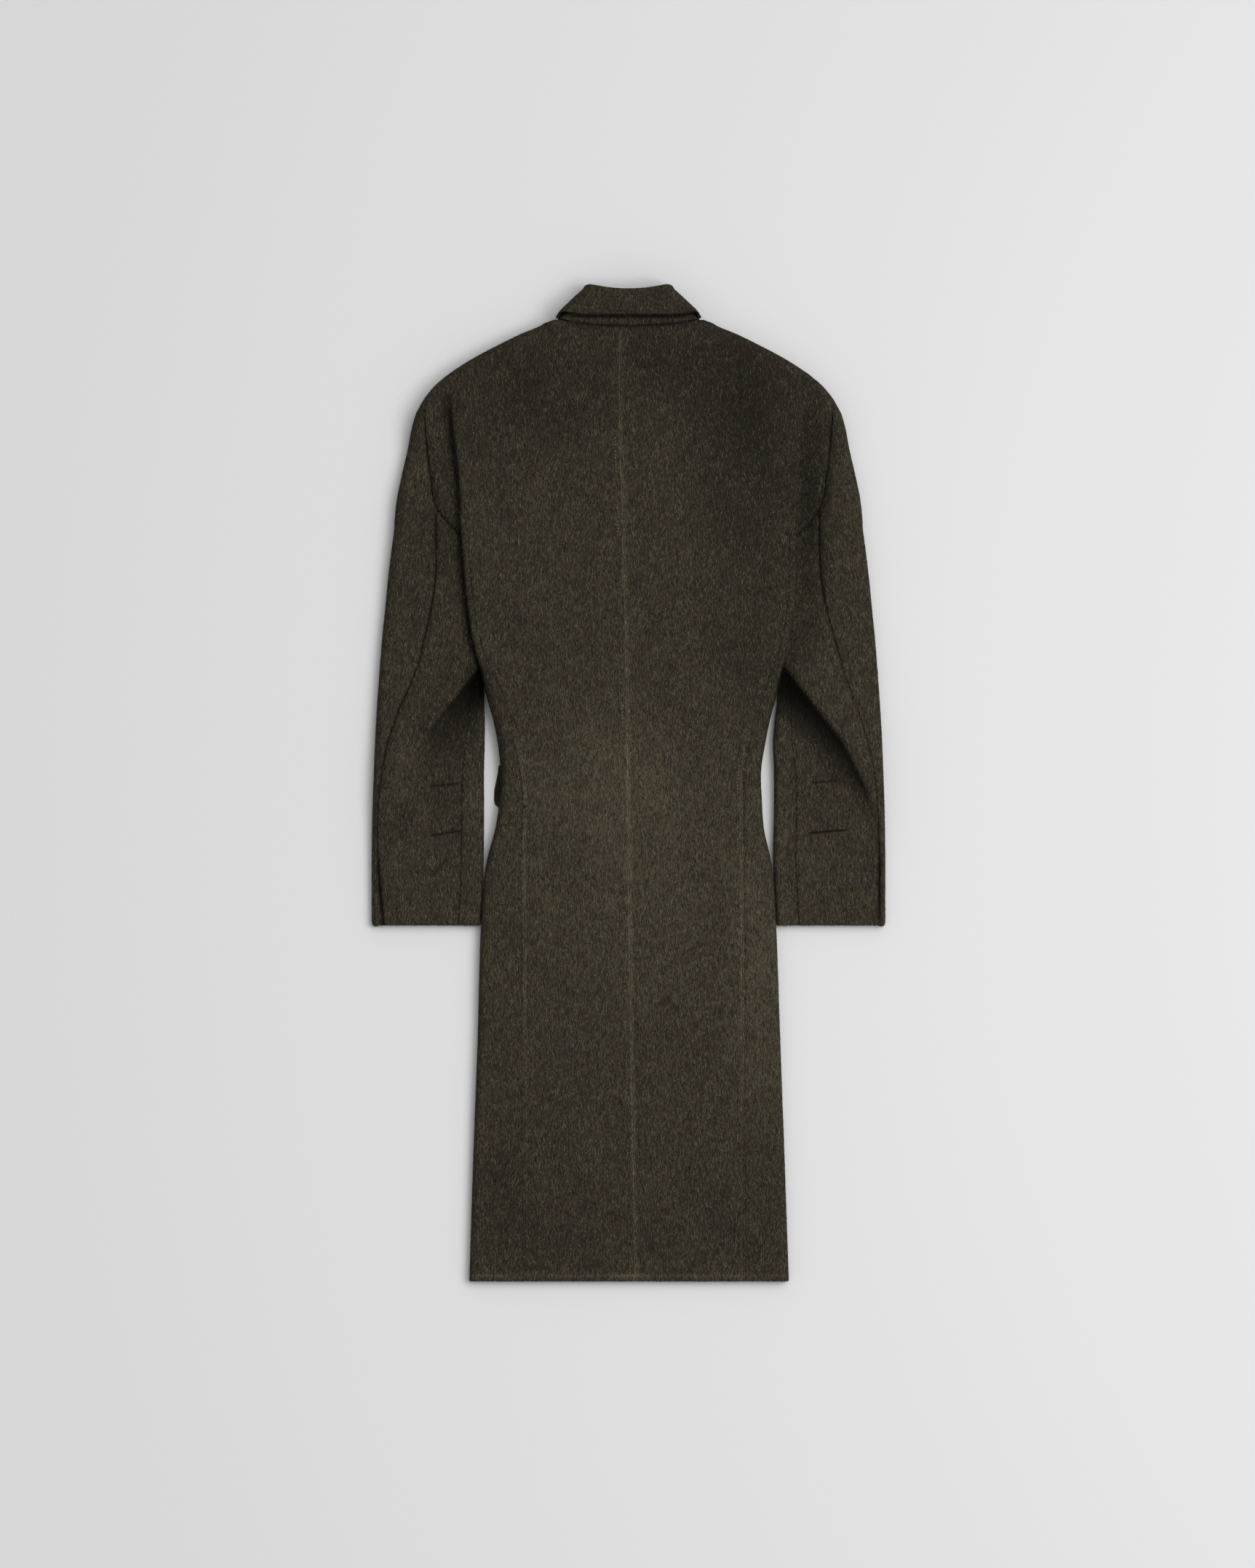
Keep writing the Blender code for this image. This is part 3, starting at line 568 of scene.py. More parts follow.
def front_panel(side):
    """One front: rows up to the underarm, then wider rows up to the shoulder seam."""
    drop = spread(HEM_DROP, UNDERARM, FRONT_STEP)
    seam = SIDE_FRONT * on_side(BODY, side, "edge", drop) - SEAM_GAP / 2
    out = columns_between(seam, front_edge(drop), FRONT_COLUMNS)
    lower = place(side, out, front_level(side, out, drop[:, None]), drop[:, None])
    armhole = along(YOKE, "armhole", YOKE_SHARES) - CURVED_GAP
    end = front_edge(UNDERARM * (1 - YOKE_SHARES))
    inner = columns_between(np.full(len(armhole), seam[-1]), end, FRONT_COLUMNS)
    wing = columns_between(armhole, inner[:, 0], WING_COLUMNS, soft_end=False)[:, :-1]
    wide = np.concatenate([wing, inner], axis=1)
    line_out, line_drop = shoulder_inset(1.0)
    top = np.interp(wide, line_out, line_drop) + SHOULDER_SEAM
    rise = UNDERARM + YOKE_SHARES[:, None] * (top - UNDERARM)
    upper = place(side, wide, front_level(side, wide, UNDERARM), rise)
    lower[-1] = upper[0, wing.shape[1]:]
    return [with_cloth(side, lower, side * out, drop[:, None]), with_cloth(side, upper, side * wide, rise)]


# %% [markdown]
# The two-piece sleeves
# A tailored sleeve has an outer piece that wraps most of the arm and a narrower piece between two seams.
# Here the narrow piece faces up. Both are drawn from the same flat oval section, so the seams agree.
# The cap at the top follows the armhole seam of the back all the way round.

# %% Sleeves
FLOOR_COLUMN = 200.0
UNDER_TOP = 217.0
ARM_GAP = 2 * SEAM_GAP
CUFF_CORNER = 3.5
SLEEVE_STEP, CAP_STEP = 3.6, 4.5
TUBE_COLUMNS, STRIP_COLUMNS, UNDER_COLUMNS = 62, 26, 34
CAP_TUCK, CAP_SINK = 5.0, 3.2
HALF_TURN = np.linspace(-np.pi / 2, np.pi / 2, 25)[None]


def sleeve_value(side, column, drop):
    """A column of the sleeve table; the outer edge also turns in at the cuff, by a quarter circle."""
    value = on_side(SLEEVE, side, column, drop)
    if column == "outer":
        past = np.clip((drop - CUFF_DROP) / CUFF_CORNER + 1, 0, 1)
        value = value - CUFF_CORNER * (1 - np.sqrt(1 - past ** 2))
    return value


def front_seam_out(side, drop):
    """Where the sleeve's front seam lies on top of the arm."""
    return sleeve_value(side, "inner", drop) + sleeve_value(side, "front_seam", drop)


def half_round(edge, reach, low, high, angles):
    """A folded layer's round as out = edge - reach * (1 - cos a), level = middle + half height * sin a."""
    out = edge[:, None] - reach[:, None] * (1 - np.cos(angles))
    return out, ((low + high) / 2)[:, None] + ((high - low) / 2)[:, None] * np.sin(angles)


def even_columns(paths, count):
    """Each path read at the edge steps of both ends and at even distances between."""
    total = np.linalg.norm(np.diff(paths, axis=1), axis=2).sum(axis=1)
    return resample(paths, columns_between(np.zeros(len(paths)), total, count))


def outer_half(seam_floor, outer, seam_top, level):
    """From the floor column out round the sleeve's outer edge to a seam on top, for all rows."""
    edge = outer - HALF
    reach = np.minimum((level - HALF) / 2, 0.85 * (edge - np.maximum(seam_floor, 0)))
    inside = np.clip((seam_top - edge + reach) / reach, -1, 1)
    last = np.where(seam_top < edge - reach, np.pi / 2, np.arccos(np.maximum(inside, 0)))
    angles = -np.pi / 2 + (last + np.pi / 2)[:, None] * np.linspace(0, 1, 33)
    out, high = half_round(edge, reach, HALF, level, angles)
    out = np.concatenate([seam_floor[:, None], out, np.minimum(seam_top, out[:, -1])[:, None]], axis=1)
    high = np.concatenate([np.full((len(out), 1), HALF), high, high[:, -1:]], axis=1)
    return even_columns(np.stack([out, high], axis=-1), TUBE_COLUMNS)


def armhole_seam(side):
    """The armhole seam from the shoulder down to the underarm as out, drop and level."""
    out, level, drop, _ = yoke_sections(side, np.linspace(1, 0, 60))
    return out[:, -1] + SEAM_GAP / 2, drop[:, -1], level[:, -1]


def armhole_out(side, drop):
    """How far out the armhole seam lies at each drop."""
    out, seam_drop, _ = armhole_seam(side)
    return np.interp(drop, seam_drop, out)


DART_ROWS = np.concatenate([np.arange(529.5, 538.5, 1.2), np.arange(586.0, 597.0, 1.2)])
SLEEVE_ROWS = np.union1d(spread(UNDERARM + ARM_GAP, CUFF_DROP, SLEEVE_STEP), DART_ROWS)
CAP_ROWS = np.arange(111.0, 229.0, CAP_STEP)


def between_rows(first, last, at):
    """Rows between two rows of points, at the given shares of the way."""
    return first[None] + (last - first)[None] * np.asarray(at)[:, None, None]


def top_sleeve(side):
    """The outer piece of a sleeve: its cap, the tube's outer side and the strip under the arm."""
    seam_out, seam_drop, seam_level = armhole_seam(side)
    armhole = np.interp(CAP_ROWS, seam_drop, seam_out) + SEAM_GAP
    seam = sleeve_value(side, "seam", UNDERARM) + SEAM_GAP / 2
    edge = np.where(CAP_ROWS < UNDER_TOP - 1, armhole, np.maximum(armhole, seam))
    cap = outer_half(armhole, along(CAP, "out", CAP_ROWS), edge, np.interp(CAP_ROWS, seam_drop, seam_level))
    cap = place(side, cap[..., 0], cap[..., 1], CAP_ROWS[:, None])
    drop = SLEEVE_ROWS
    level = sleeve_value(side, "height", drop) - HALF
    arm = outer_half(np.full(len(drop), FLOOR_COLUMN), sleeve_value(side, "outer", drop),
                     sleeve_value(side, "seam", drop) + SEAM_GAP / 2, level)
    arm_rows = place(side, arm[..., 0], arm[..., 1], drop[:, None])
    top = shoulder_roll(side, ROLL_ANGLES)[::-1, -1] + np.array([1.25 * side, -1.5, 0.0]) * SEAM_GAP
    far = run_length(top)
    want = columns_between(np.zeros(1), far[-1:], TUBE_COLUMNS)[0]
    first = np.stack([np.interp(want, far, top[:, k]) for k in range(3)], axis=-1)
    hidden = first + CAP_TUCK * unit(first - cap[0]) + CAP_SINK * unit(first.mean(axis=0) - first)
    start = np.concatenate([between_rows(hidden, first, np.append(EDGE_STEPS / 6, [0.4, 0.65, 0.85])),
                            between_rows(first, cap[0], np.append(EDGE_STEPS, [4.0, 8.0, 12.0, 16.0]) / 20)])
    join = between_rows(cap[-1], arm_rows[0], [0.25, 0.5, 0.75])
    outer = np.concatenate([start, cap, join, arm_rows])
    edge = sleeve_value(side, "inner", drop) + HALF
    bend, high = half_round(edge, (HALF - level) / 2, HALF, level, -HALF_TURN)
    begin = front_seam_out(side, drop) - SEAM_GAP / 2
    strip = np.stack([np.concatenate([begin[:, None], bend, np.full((len(drop), 1), FLOOR_COLUMN)], axis=1),
                      np.concatenate([high[:, :1], high, high[:, -1:]], axis=1)], axis=-1)
    strip = even_columns(strip, STRIP_COLUMNS)
    inner = place(side, strip[..., 0], strip[..., 1], drop[:, None])
    outer_far = section_length(outer[..., 0], outer[..., 2])
    inner_far = section_length(strip[..., 0], strip[..., 1])
    inner_far = FLOOR_COLUMN - inner_far[:, -1:] + inner_far
    return [with_cloth(side, outer, side * (FLOOR_COLUMN + outer_far), NAPE_Y - outer[..., 1]),
            with_cloth(side, inner, side * inner_far, drop[:, None])]


def under_sleeve(side):
    """The narrow piece of a sleeve, between the back seam and the front seam on top of the arm."""
    seam_out, seam_drop, seam_level = armhole_seam(side)
    cap_drop = spread(UNDER_TOP, UNDERARM, SLEEVE_STEP, soft_end=False)
    start = np.full(len(cap_drop), sleeve_value(side, "seam", UNDERARM) - SEAM_GAP / 2)
    end = np.minimum(np.interp(cap_drop, seam_drop, seam_out) + SEAM_GAP, start - 3 * HALF)
    cap = columns_between(start, end, UNDER_COLUMNS)
    cap_level = np.interp(cap_drop, seam_drop, seam_level)
    drop = SLEEVE_ROWS
    level = sleeve_value(side, "height", drop) - HALF
    edge = sleeve_value(side, "outer", drop) - HALF
    reach = ((level - HALF) / 2)[:, None]
    end = front_seam_out(side, drop) + SEAM_GAP / 2
    out = columns_between(sleeve_value(side, "seam", drop) - SEAM_GAP / 2, end, UNDER_COLUMNS)
    over = np.clip((out - edge[:, None] + reach) / reach, 0, 1)
    high = ((HALF + level) / 2)[:, None] + reach * np.sqrt(1 - over ** 2)
    rows = np.concatenate([place(side, cap, cap_level[:, None], cap_drop[:, None]),
                           place(side, out, high, drop[:, None])])
    return [with_cloth(side, rows, rows[..., 0], NAPE_Y - rows[..., 1])]


# %% [markdown]
# Collar and pocket flap
# The collar is a standing band with a second layer folded over it, so two shells lie one on the other
# and the lower edge of the fall throws a shadow on the band. Both run round under the neck and end there.
# The flap is a plain strip under the left side with one rounded corner showing past the waist.

# %% Collar and flap
COLLAR_TOP = 49.3
COLLAR_SAG = 5.5
SAG_HALF = 45.0
COLLAR_END = 40.0
FALL_EDGE = 13.6
FALL_EDGE_RISE = 2.9
FALL_END = 9.6
NECK_TUCK = 4.0
TOP_CORNER = 4.5
STAND_LOW = HALF + LAYER
STAND_HIGH = 28.7 - HALF
FALL_HIGH = 32.6 - HALF
FLAP_PROUD = 7.5
FLAP_CORNER = 9.0
FLAP_COLUMNS, COLLAR_COLUMNS = 40, 96
BAND_STEP, FINE_STEP = 2.5, 2.0
COLLAR_BEND = 11.0


def collar_sections(half_width, high, low):
    """Whole bands from one hidden end under the neck, over the back, to the other end."""
    half_width, high, low = np.broadcast_arrays(*(np.asarray(v, float) for v in (half_width, high, low)))
    reach = np.minimum((high - low) / 2, COLLAR_BEND)
    bend, level = half_round(half_width - HALF, reach, low, high, HALF_TURN)
    out = np.concatenate([np.full((len(bend), 1), COLLAR_END), bend, np.zeros((len(bend), 1))], axis=1)
    level = np.concatenate([low[:, None], level, high[:, None]], axis=1)
    path = np.stack([out, level], axis=-1)
    path = np.concatenate([path, path[:, -2::-1] * np.array([-1, 1])], axis=1)
    return even_columns(path, COLLAR_COLUMNS)


def collar_rows(sections, rise):
    """Sections at their rises above the nape, dipping in the middle towards the top."""
    out = sections[..., 0]
    sag = COLLAR_SAG * (1 - np.clip(out / SAG_HALF, -1, 1) ** 2) * ease(20, COLLAR_TOP, rise)[:, None]
    return place(1, out, sections[..., 1], sag - rise[:, None])


def collar_patch(side, rows):
    """A collar band with cloth coordinates along it and up it."""
    across = section_length(rows[..., 0], rows[..., 2])
    across = across - across[:, -1:] / 2
    return with_cloth(side, rows, across, run_length(rows))


def collar_stand():
    """The band that rises from the neck seam to the collar's fold."""
    rise = spread(COLLAR[0].rise, COLLAR[-1].rise, BAND_STEP, soft_start=False)
    rows = collar_rows(collar_sections(along(COLLAR, "stand", rise), STAND_HIGH, STAND_LOW), rise)
    section = collar_sections(np.array([COLLAR[0].stand]), STAND_HIGH, STAND_LOW)[0]
    middle = 1 - ease(52, 72, np.abs(section[:, 0]))
    tuck = NECK_TUCK * ease(STAND_HIGH - 6, STAND_HIGH - 1, section[:, 1]) * middle
    seam = along(SHOULDER, "drop", np.abs(section[:, 0])) - 3 * SEAM_GAP
    seam = np.where(section[:, 1] > STAND_HIGH - 8, seam, -6.5)
    bottom = place(1, section[:, 0], section[:, 1] - tuck, seam + tuck)
    ditch = place(1, section[:, 0], section[:, 1] - 0.85 * tuck, seam)
    hidden = between_rows(bottom, ditch, np.append(EDGE_STEPS / 6, [0.5, 0.75]))
    rising = between_rows(ditch, rows[0], [0.0, 0.2, 0.4, 0.6, 0.8])
    rising[..., 2] += (tuck * 0.85)[None] * np.array([0.0, 0.34, 0.42, 0.34, 0.18])[:, None]
    return [collar_patch(LEFT, np.concatenate([hidden, rising, rows]))]


def collar_fall():
    """The part that turns over at the fold and lies on the stand."""
    top = COLLAR[-1]
    fold_start = top.rise + 2 * CURVED_GAP
    angle = np.concatenate([[-np.pi / 2, -1.52, -1.42, -1.25], np.linspace(-1.05, np.pi / 2, 12)])
    share = (1 + np.sin(angle)) / 2
    curl_rise = fold_start + (COLLAR_TOP - HALF - fold_start) * np.cos(angle)
    half_width = top.stand + (top.fall - top.stand) * share - TOP_CORNER * np.cos(angle) ** 3
    curl = collar_rows(collar_sections(half_width, STAND_HIGH + (FALL_HIGH - STAND_HIGH) * share,
                                       STAND_LOW + (HALF - STAND_LOW) * share), curl_rise)
    rise = spread(top.rise - 1.5, FALL_EDGE, FINE_STEP, soft_start=False)
    sections = collar_sections(along(COLLAR, "fall", rise), FALL_HIGH, HALF)
    flat = collar_rows(sections, rise)
    droop = ease(1.0, 9.0, FALL_HIGH - sections[..., 1])
    edge = FALL_EDGE_RISE * ease(50, 76, np.abs(sections[..., 0])) * (1 - droop)
    edge = edge + (FALL_END - FALL_EDGE) * droop
    flat[..., 1] += edge * ((rise[0] - rise) / (rise[0] - rise[-1]))[:, None] ** 1.5
    return [collar_patch(RIGHT, np.concatenate([curl, flat]))]


def pocket_flap():
    """A flap on the left front, under the coat, whose end reaches past the waist."""
    top, bottom = FLAP_DROPS
    edge = along(BODY, "edge_left", (top + bottom) / 2)
    drop = spread(top, bottom, FINE_STEP)
    share = (drop - top) / (bottom - top)
    corner = np.maximum(0.0, drop - (bottom - FLAP_CORNER))
    end = edge + FLAP_PROUD * (0.35 + 0.65 * ease(0.0, 0.7, share))
    end = end - FLAP_CORNER + np.sqrt(FLAP_CORNER ** 2 - corner ** 2)
    out = columns_between(np.full(len(drop), edge - FLAP_LENGTH), end, FLAP_COLUMNS)
    rows = place(LEFT, out, HALF, drop[:, None])
    return [with_cloth(LEFT, rows, -out, drop[:, None])]


# %% [markdown]
# Creases
# Laid wool keeps a few soft forms: the upper arm laps over the forearm at the elbow, the sleeve sinks
# beside the body's fold, seams lie in shallow ditches, and slow waves run down the back. Each is a row in
# a table with its own ends, width and height, and no two are alike. A crease is a ridge or
# trough across a slightly bowed line, and only cloth that faces up is moved, so nothing below is touched.

# %% Creases
CREASES = table("x drop end_x end_drop bow width height", [
    (-37, 519, 107, 477, 6, 13, 1.3), (-48, 486, -36, 690, -5, 17, 1.2),
    (-95, 600, -92, 770, 3, 13, -1.2), (111, 35, 158, 213, -8, 20, -2.2),
    (118, 300, 146, 440, 7, 17, -1.5), (60, 330, 92, 470, -6, 15, 1.1),
    (-150, 130, -128, 330, 8, 22, 1.3), (-60, 60, -84, 240, -7, 26, -1),
    (40, 690, 62, 980, 6, 24, 0.9), (-30, 800, -52, 1090, -5, 26, -0.9),
    (96, 760, 88, 1040, 4, 21, -0.8), (-150, 860, -146, 1060, 5, 15, 0.8),
    (-118, 380, -70, 430, 4, 9, -0.9), (98, 470, 140, 440, -3, 8, -1),
    (-247, 300, -236, 420, 4, 10, 1), (-262, 545, -214, 590, 5, 12, -1.2),
    (-240, 610, -205, 660, -4, 12, 0.9), (212, 560, 262, 600, 4, 11, 1.1),
    (230, 640, 206, 690, 3, 12, -0.9), (238, 300, 226, 400, -4, 11, 0.9),
])
DARTS = table("x drop end_x end_drop dark", [
    (-231, 537, -199, 534, 0.5), (-231, 595, -195, 589, 0.6), (212, 533, 244, 531, 0.45),
    (210, 592, 254, 588, 0.8),
])
STEPS = table("side height reach hold shadow wide thin line", [
    (LEFT, 7.5, 55, -0.06, 0.50, 34, 20, ((175, 397), (194, 421), (224, 460), (268, 540), (289, 595))),
    (RIGHT, 9.5, 66, 0.08, 0.95, 25, 20,
     ((183, 399), (212, 436), (249, 484), (276, 536), (291, 579), (294, 624))),
])
HOLLOWS = table("x drop half_x half_drop depth", [
    (-178, 438, 24, 30, 6), (188, 440, 18, 32, 4),
])
VALLEY = {LEFT: (2.5, 22.0), RIGHT: (9.0, 42.0)}
DITCH_WIDTH = 5.0
ARMHOLE_DITCH, SEAM_DITCH = 2.4, 1.5
DART_DEPTH, DART_WIDTH = 1.1, 3.2
SLEEVE_LOWEST = 7.0
STEP_FOOT = 0.45


def bell(off, width):
    """exp(-(off / width)^2): 1 on a line and close to 0 two widths away."""
    return np.exp(-(off / width) ** 2)


def oval(x, drop, row):
    """The same over a row's oval."""
    return bell(np.hypot((x - row.x) / row.half_x, (drop - row.drop) / row.half_drop), 1.0)


def line_place(x, drop, row):
    """How far along a row's line each point lies, as a share, and its distance to the line's left."""
    run_x, run_drop = row.end_x - row.x, row.end_drop - row.drop
    length = np.hypot(run_x, run_drop)
    at = ((x - row.x) * run_x + (drop - row.drop) * run_drop) / length ** 2
    return at, ((x - row.x) * run_drop - (drop - row.drop) * run_x) / length


def crease_height(x, drop):
    """Ridges and troughs: height * exp(-(d / width)^2) across each bowed line, fading at both ends."""
    height = np.zeros_like(x)
    for row in CREASES:
        at, off = line_place(x, drop, row)
        off = off - row.bow * 4 * np.clip(at, 0, 1) * (1 - np.clip(at, 0, 1))
        height += row.height * band(-0.25, 0.3, 0.7, 1.25, at) * bell(off, row.width)
    for row in DARTS:
        at, off = line_place(x, drop, row)
        height -= DART_DEPTH * row.dark * band(-0.04, 0.06, 0.94, 1.04, at) * bell(off, DART_WIDTH)
    for row in HOLLOWS:
        height -= row.depth * oval(x, drop, row)
    return height


def bent_place(out, drop, line):
    """The nearest place on a bent line: its share of the length, and the distance to the upper arm's side."""
    line = np.array(line, float)
    starts = run_length(line)
    runs = np.diff(starts)
    near, at, above = np.full(out.shape, 1e9), np.zeros(out.shape), np.zeros(out.shape)
    for k, run in enumerate(runs):
        way = (line[k + 1] - line[k]) / run
        x, y = out - line[k, 0], drop - line[k, 1]
        far = np.clip(x * way[0] + y * way[1], -1e9 if k == 0 else 0.0, 1e9 if k == len(runs) - 1 else run)
        gap = np.hypot(x - far * way[0], y - far * way[1])
        closer = gap < near
        near = np.where(closer, gap, near)
        at = np.where(closer, (starts[k] + far) / starts[-1], at)
        above = np.where(closer, np.sign(x * way[1] - y * way[0]) * gap, above)
    return at, above


def step_height(side, out, drop):
    """The elbow: the upper arm swells towards a bent line and drops steeply just past it."""
    height = np.zeros_like(out)
    for row in (step for step in STEPS if step.side == side):
        at, above = bent_place(out, drop, row.line)
        fade = band(-0.1, 0.1, 0.4, 1.05, at)
        height += row.height * fade * band(-4, 3, 5, row.reach, above)
        height -= STEP_FOOT * row.height * fade * bell(above + 12, 10)
    return height


def fold_out(side, drop):
    """Where the body's folded edge lies over the sleeve."""
    share = np.clip((UNDERARM - drop) / (UNDERARM - 80), 0, 1)
    return np.where(drop < UNDERARM, along(YOKE, "fold", share), on_side(BODY, side, "edge", drop))


def beside_fold(side, out, drop):
    """How far cloth beside the body's fold sinks, with the ditch of the armhole seam."""
    depth, wide = VALLEY[side]
    beside = 1 - ease(2, wide, out - fold_out(side, drop))
    valley = depth * beside * band(95, 180, 350, 430, drop)
    ditch = ARMHOLE_DITCH * bell(out - armhole_out(side, drop), DITCH_WIDTH)
    return valley + ditch * (drop < UNDERARM) * ease(90, 140, drop)


def sleeve_relief(side, points):
    """A sleeve sinks beside the body's fold and into its seams, and steps at the elbow."""
    out, drop = np.abs(points[:, 0]), NAPE_Y - points[:, 1]
    seam = np.where(drop > UNDERARM, sleeve_value(side, "seam", drop), 1e3)
    ditch = SEAM_DITCH * bell(out - seam, DITCH_WIDTH) * (1 - ease(470, 560, drop))
    rise = crease_height(points[:, 0], drop) + step_height(side, out, drop)
    rise = rise - ditch - beside_fold(side, out, drop)
    return np.maximum(rise, np.minimum(SLEEVE_LOWEST - points[:, 2], 0))


def body_relief(side, points):
    """The back and sides carry the slow waves, and the band past the fold sinks with the sleeve."""
    out, drop = side * points[:, 0], NAPE_Y - points[:, 1]
    past = ease(-1.5, 1.5, out - fold_out(side, drop)) * (drop < UNDERARM)
    return crease_height(points[:, 0], drop) * (1 - past) - beside_fold(side, out, drop) * past


heights = crease_height(np.linspace(-180, 180, 200), np.full(200, 500.0))
print("creases at the waist run from", heights.min().round(2), "to", heights.max().round(2), "mm")

# %% [markdown]
# Making the thirteen panels
# Each panel is built once for each side from the same functions. The tables hold the small differences
# between the two sides, so the coat is not a mirrored one.

# %% Build the panels
SIDED = {"back": (back_panel, body_relief), "side": (side_panel, body_relief), "front": (front_panel, None),
         "top_sleeve": (top_sleeve, sleeve_relief), "under_sleeve": (under_sleeve, sleeve_relief)}
SINGLE = {"collar_stand": collar_stand, "collar_fall": collar_fall, "pocket_flap_left": pocket_flap}
pieces = {}
for side in (LEFT, RIGHT):
    for kind, (maker, relief) in SIDED.items():
        name = kind + "_" + side_name(side)
        pieces[name] = make_cloth(name, maker(side), relief, side)
for name, maker in SINGLE.items():
    pieces[name] = make_cloth(name, maker())

# %% [markdown]
# Shader arithmetic in plain Python
# A node tree for brushed wool has many small sums in it. A little class that wraps a socket lets them be
# written as formulas: `a * 0.5 + b` makes the Math nodes and links them. Every other node comes from one
# method, `node`, which takes the node's settings first and then its sockets by name.

# %% Node helper
class Socket:
    """An output socket that can be added and multiplied, building Math nodes as it goes."""

    def __init__(self, tree, socket):
        self.tree, self.socket = tree, socket

    def feed(self, slot, value):
        """Give an input slot a plain value, or a link if the value is a socket."""
        if isinstance(value, Socket):
            self.tree.links.new(value.socket, slot)
        else:
            slot.default_value = value

    def math(self, operation, other):
        """A Math node of this socket and a second term."""
        made = self.tree.nodes.new("ShaderNodeMath")
        made.operation = operation
        self.feed(made.inputs[0], self)
        self.feed(made.inputs[1], other)
        return Socket(self.tree, made.outputs[0])

    def __add__(self, other):
        return self.math("ADD", other)

    def __mul__(self, other):
        return self.math("MULTIPLY", other)

    def node(self, kind, settings, output, **sockets):
        """Any other node: settings are attributes, sockets are values or links by input name."""
        made = self.tree.nodes.new(kind)
        for name, value in settings.items():
            setattr(made, name, value)
        for name, value in sockets.items():
            self.feed(next(s for s in made.inputs if s.name == name and s.enabled), value)
        return Socket(self.tree, next(s for s in made.outputs if s.name == output and s.enabled))

    def ramp(self, low, high):
        """0 below low and 1 above high, smoothly."""
        return self.node("ShaderNodeMapRange", dict(interpolation_type="SMOOTHSTEP"), "Result",
                         **{"Value": self, "From Min": low, "From Max": high})

    def mix(self, dark, light):
        """The colour `dark` where this is 0 and `light` where it is 1."""
        return self.node("ShaderNodeMix", dict(data_type="RGBA"), "Result", Factor=self, A=dark, B=light)


def set_inputs(node, values):
    """Plain values for some of a node's inputs, by name."""
    for name, value in values.items():
        node.inputs[name].default_value = value


def new_tree(name):
    """A material's empty tree with one shader, and the tree's root to build nodes from."""
    material = bpy.data.materials.new(name)
    material.use_nodes = True
    tree = material.node_tree
    return material, tree.nodes["Principled BSDF"], Socket(tree, None)


def plain_material(name, colour, roughness, specular):
    """A material of one colour."""
    material, shader, _ = new_tree(name)
    set_inputs(shader, {"Base Color": colour, "Roughness": roughness, "Specular IOR Level": specular})
    return material


print("a socket can make", [name for name in vars(Socket) if name[0] != "_"])

# %% [markdown]
# Brushed wool
# Brushing pulls fibres out of the cloth and lays them all one way, so the surface is a mass of short fine
# streaks of charcoal, olive and brown with no weave to be seen. The streaks are noise stretched along the
# cloth's own length, at three sizes, and the coordinates are nudged sideways so that they wander. The
# cloth coordinates follow each panel, so the nap turns with the sleeves and goes round the folds.

# %% Wool material
OLIVE = (0.044, 0.0385, 0.0272, 1.0)
CHARCOAL = (0.0165, 0.0133, 0.0099, 1.0)
STRAW = (0.115, 0.100, 0.060, 1.0)
BROWN = (0.066, 0.048, 0.030, 1.0)


def wool_material():
    """Three stretched noises mixed between charcoal, olive, straw and brown, and used as bump."""
    material, shader, root = new_tree("wool")
    cloth = root.node("ShaderNodeUVMap", dict(uv_map="cloth"), "UV")
    drift = root.node("ShaderNodeTexNoise", dict(noise_dimensions="2D"), "Color",
                      Vector=cloth, Scale=38.0, Detail=2.0, Roughness=0.5)
    nudge = root.node("ShaderNodeVectorMath", dict(operation="MULTIPLY_ADD"), "Vector", Vector=drift)
    root.feed(nudge.socket.node.inputs[1], (0.010, 0.010, 0.0))
    root.feed(nudge.socket.node.inputs[2], cloth)

    def streaks(across, down, detail):
        """Noise stretched along the cloth, with so many cells a metre across it and down it."""
        grid = root.node("ShaderNodeVectorMath", dict(operation="MULTIPLY"), "Vector", Vector=nudge)
        root.feed(grid.socket.node.inputs[1], (across, down, 0.0))
        return root.node("ShaderNodeTexNoise", dict(noise_dimensions="2D"), "Fac",
                         Vector=grid, Scale=1.0, Detail=detail, Roughness=0.6)

    fine, mid, broad = streaks(1250.0, 230.0, 2.0), streaks(520.0, 75.0, 2.0), streaks(120.0, 16.0, 3.0)
    tuft = fine * 0.55 + mid * 0.45
    patch = broad.ramp(0.3, 0.7)
    body = tuft.ramp(0.28, 0.56).mix(CHARCOAL, OLIVE)
    light = (tuft + patch * 0.03).ramp(0.53, 0.74)
    colour = light.mix(body, STRAW)
    warm = streaks(700.0, 55.0, 1.0).ramp(0.62, 0.72) * 0.6
    colour = warm.mix(colour, BROWN)
    # Painted shade and painted sheen: the colour is scaled by the shade value kept on each point.
    shade = root.node("ShaderNodeAttribute", dict(attribute_name="shade"), "Fac")
    colour = root.node("ShaderNodeVectorMath", dict(operation="SCALE"), "Vector", Vector=colour, Scale=shade)
    root.feed(shader.inputs["Base Color"], colour)
    bump = root.node("ShaderNodeBump", {}, "Normal", Strength=0.9, Distance=0.0009, Height=tuft)
    root.feed(shader.inputs["Normal"], bump)
    set_inputs(shader, {"Roughness": 0.95, "Specular IOR Level": 0.06, "Sheen Weight": 0.03,
                        "Sheen Roughness": 0.6, "Sheen Tint": (0.75, 0.70, 0.58, 1.0)})
    return material


wool = wool_material()
for piece in pieces.values():
    piece.data.materials.append(wool)
print("wool has", len(wool.node_tree.nodes), "nodes")
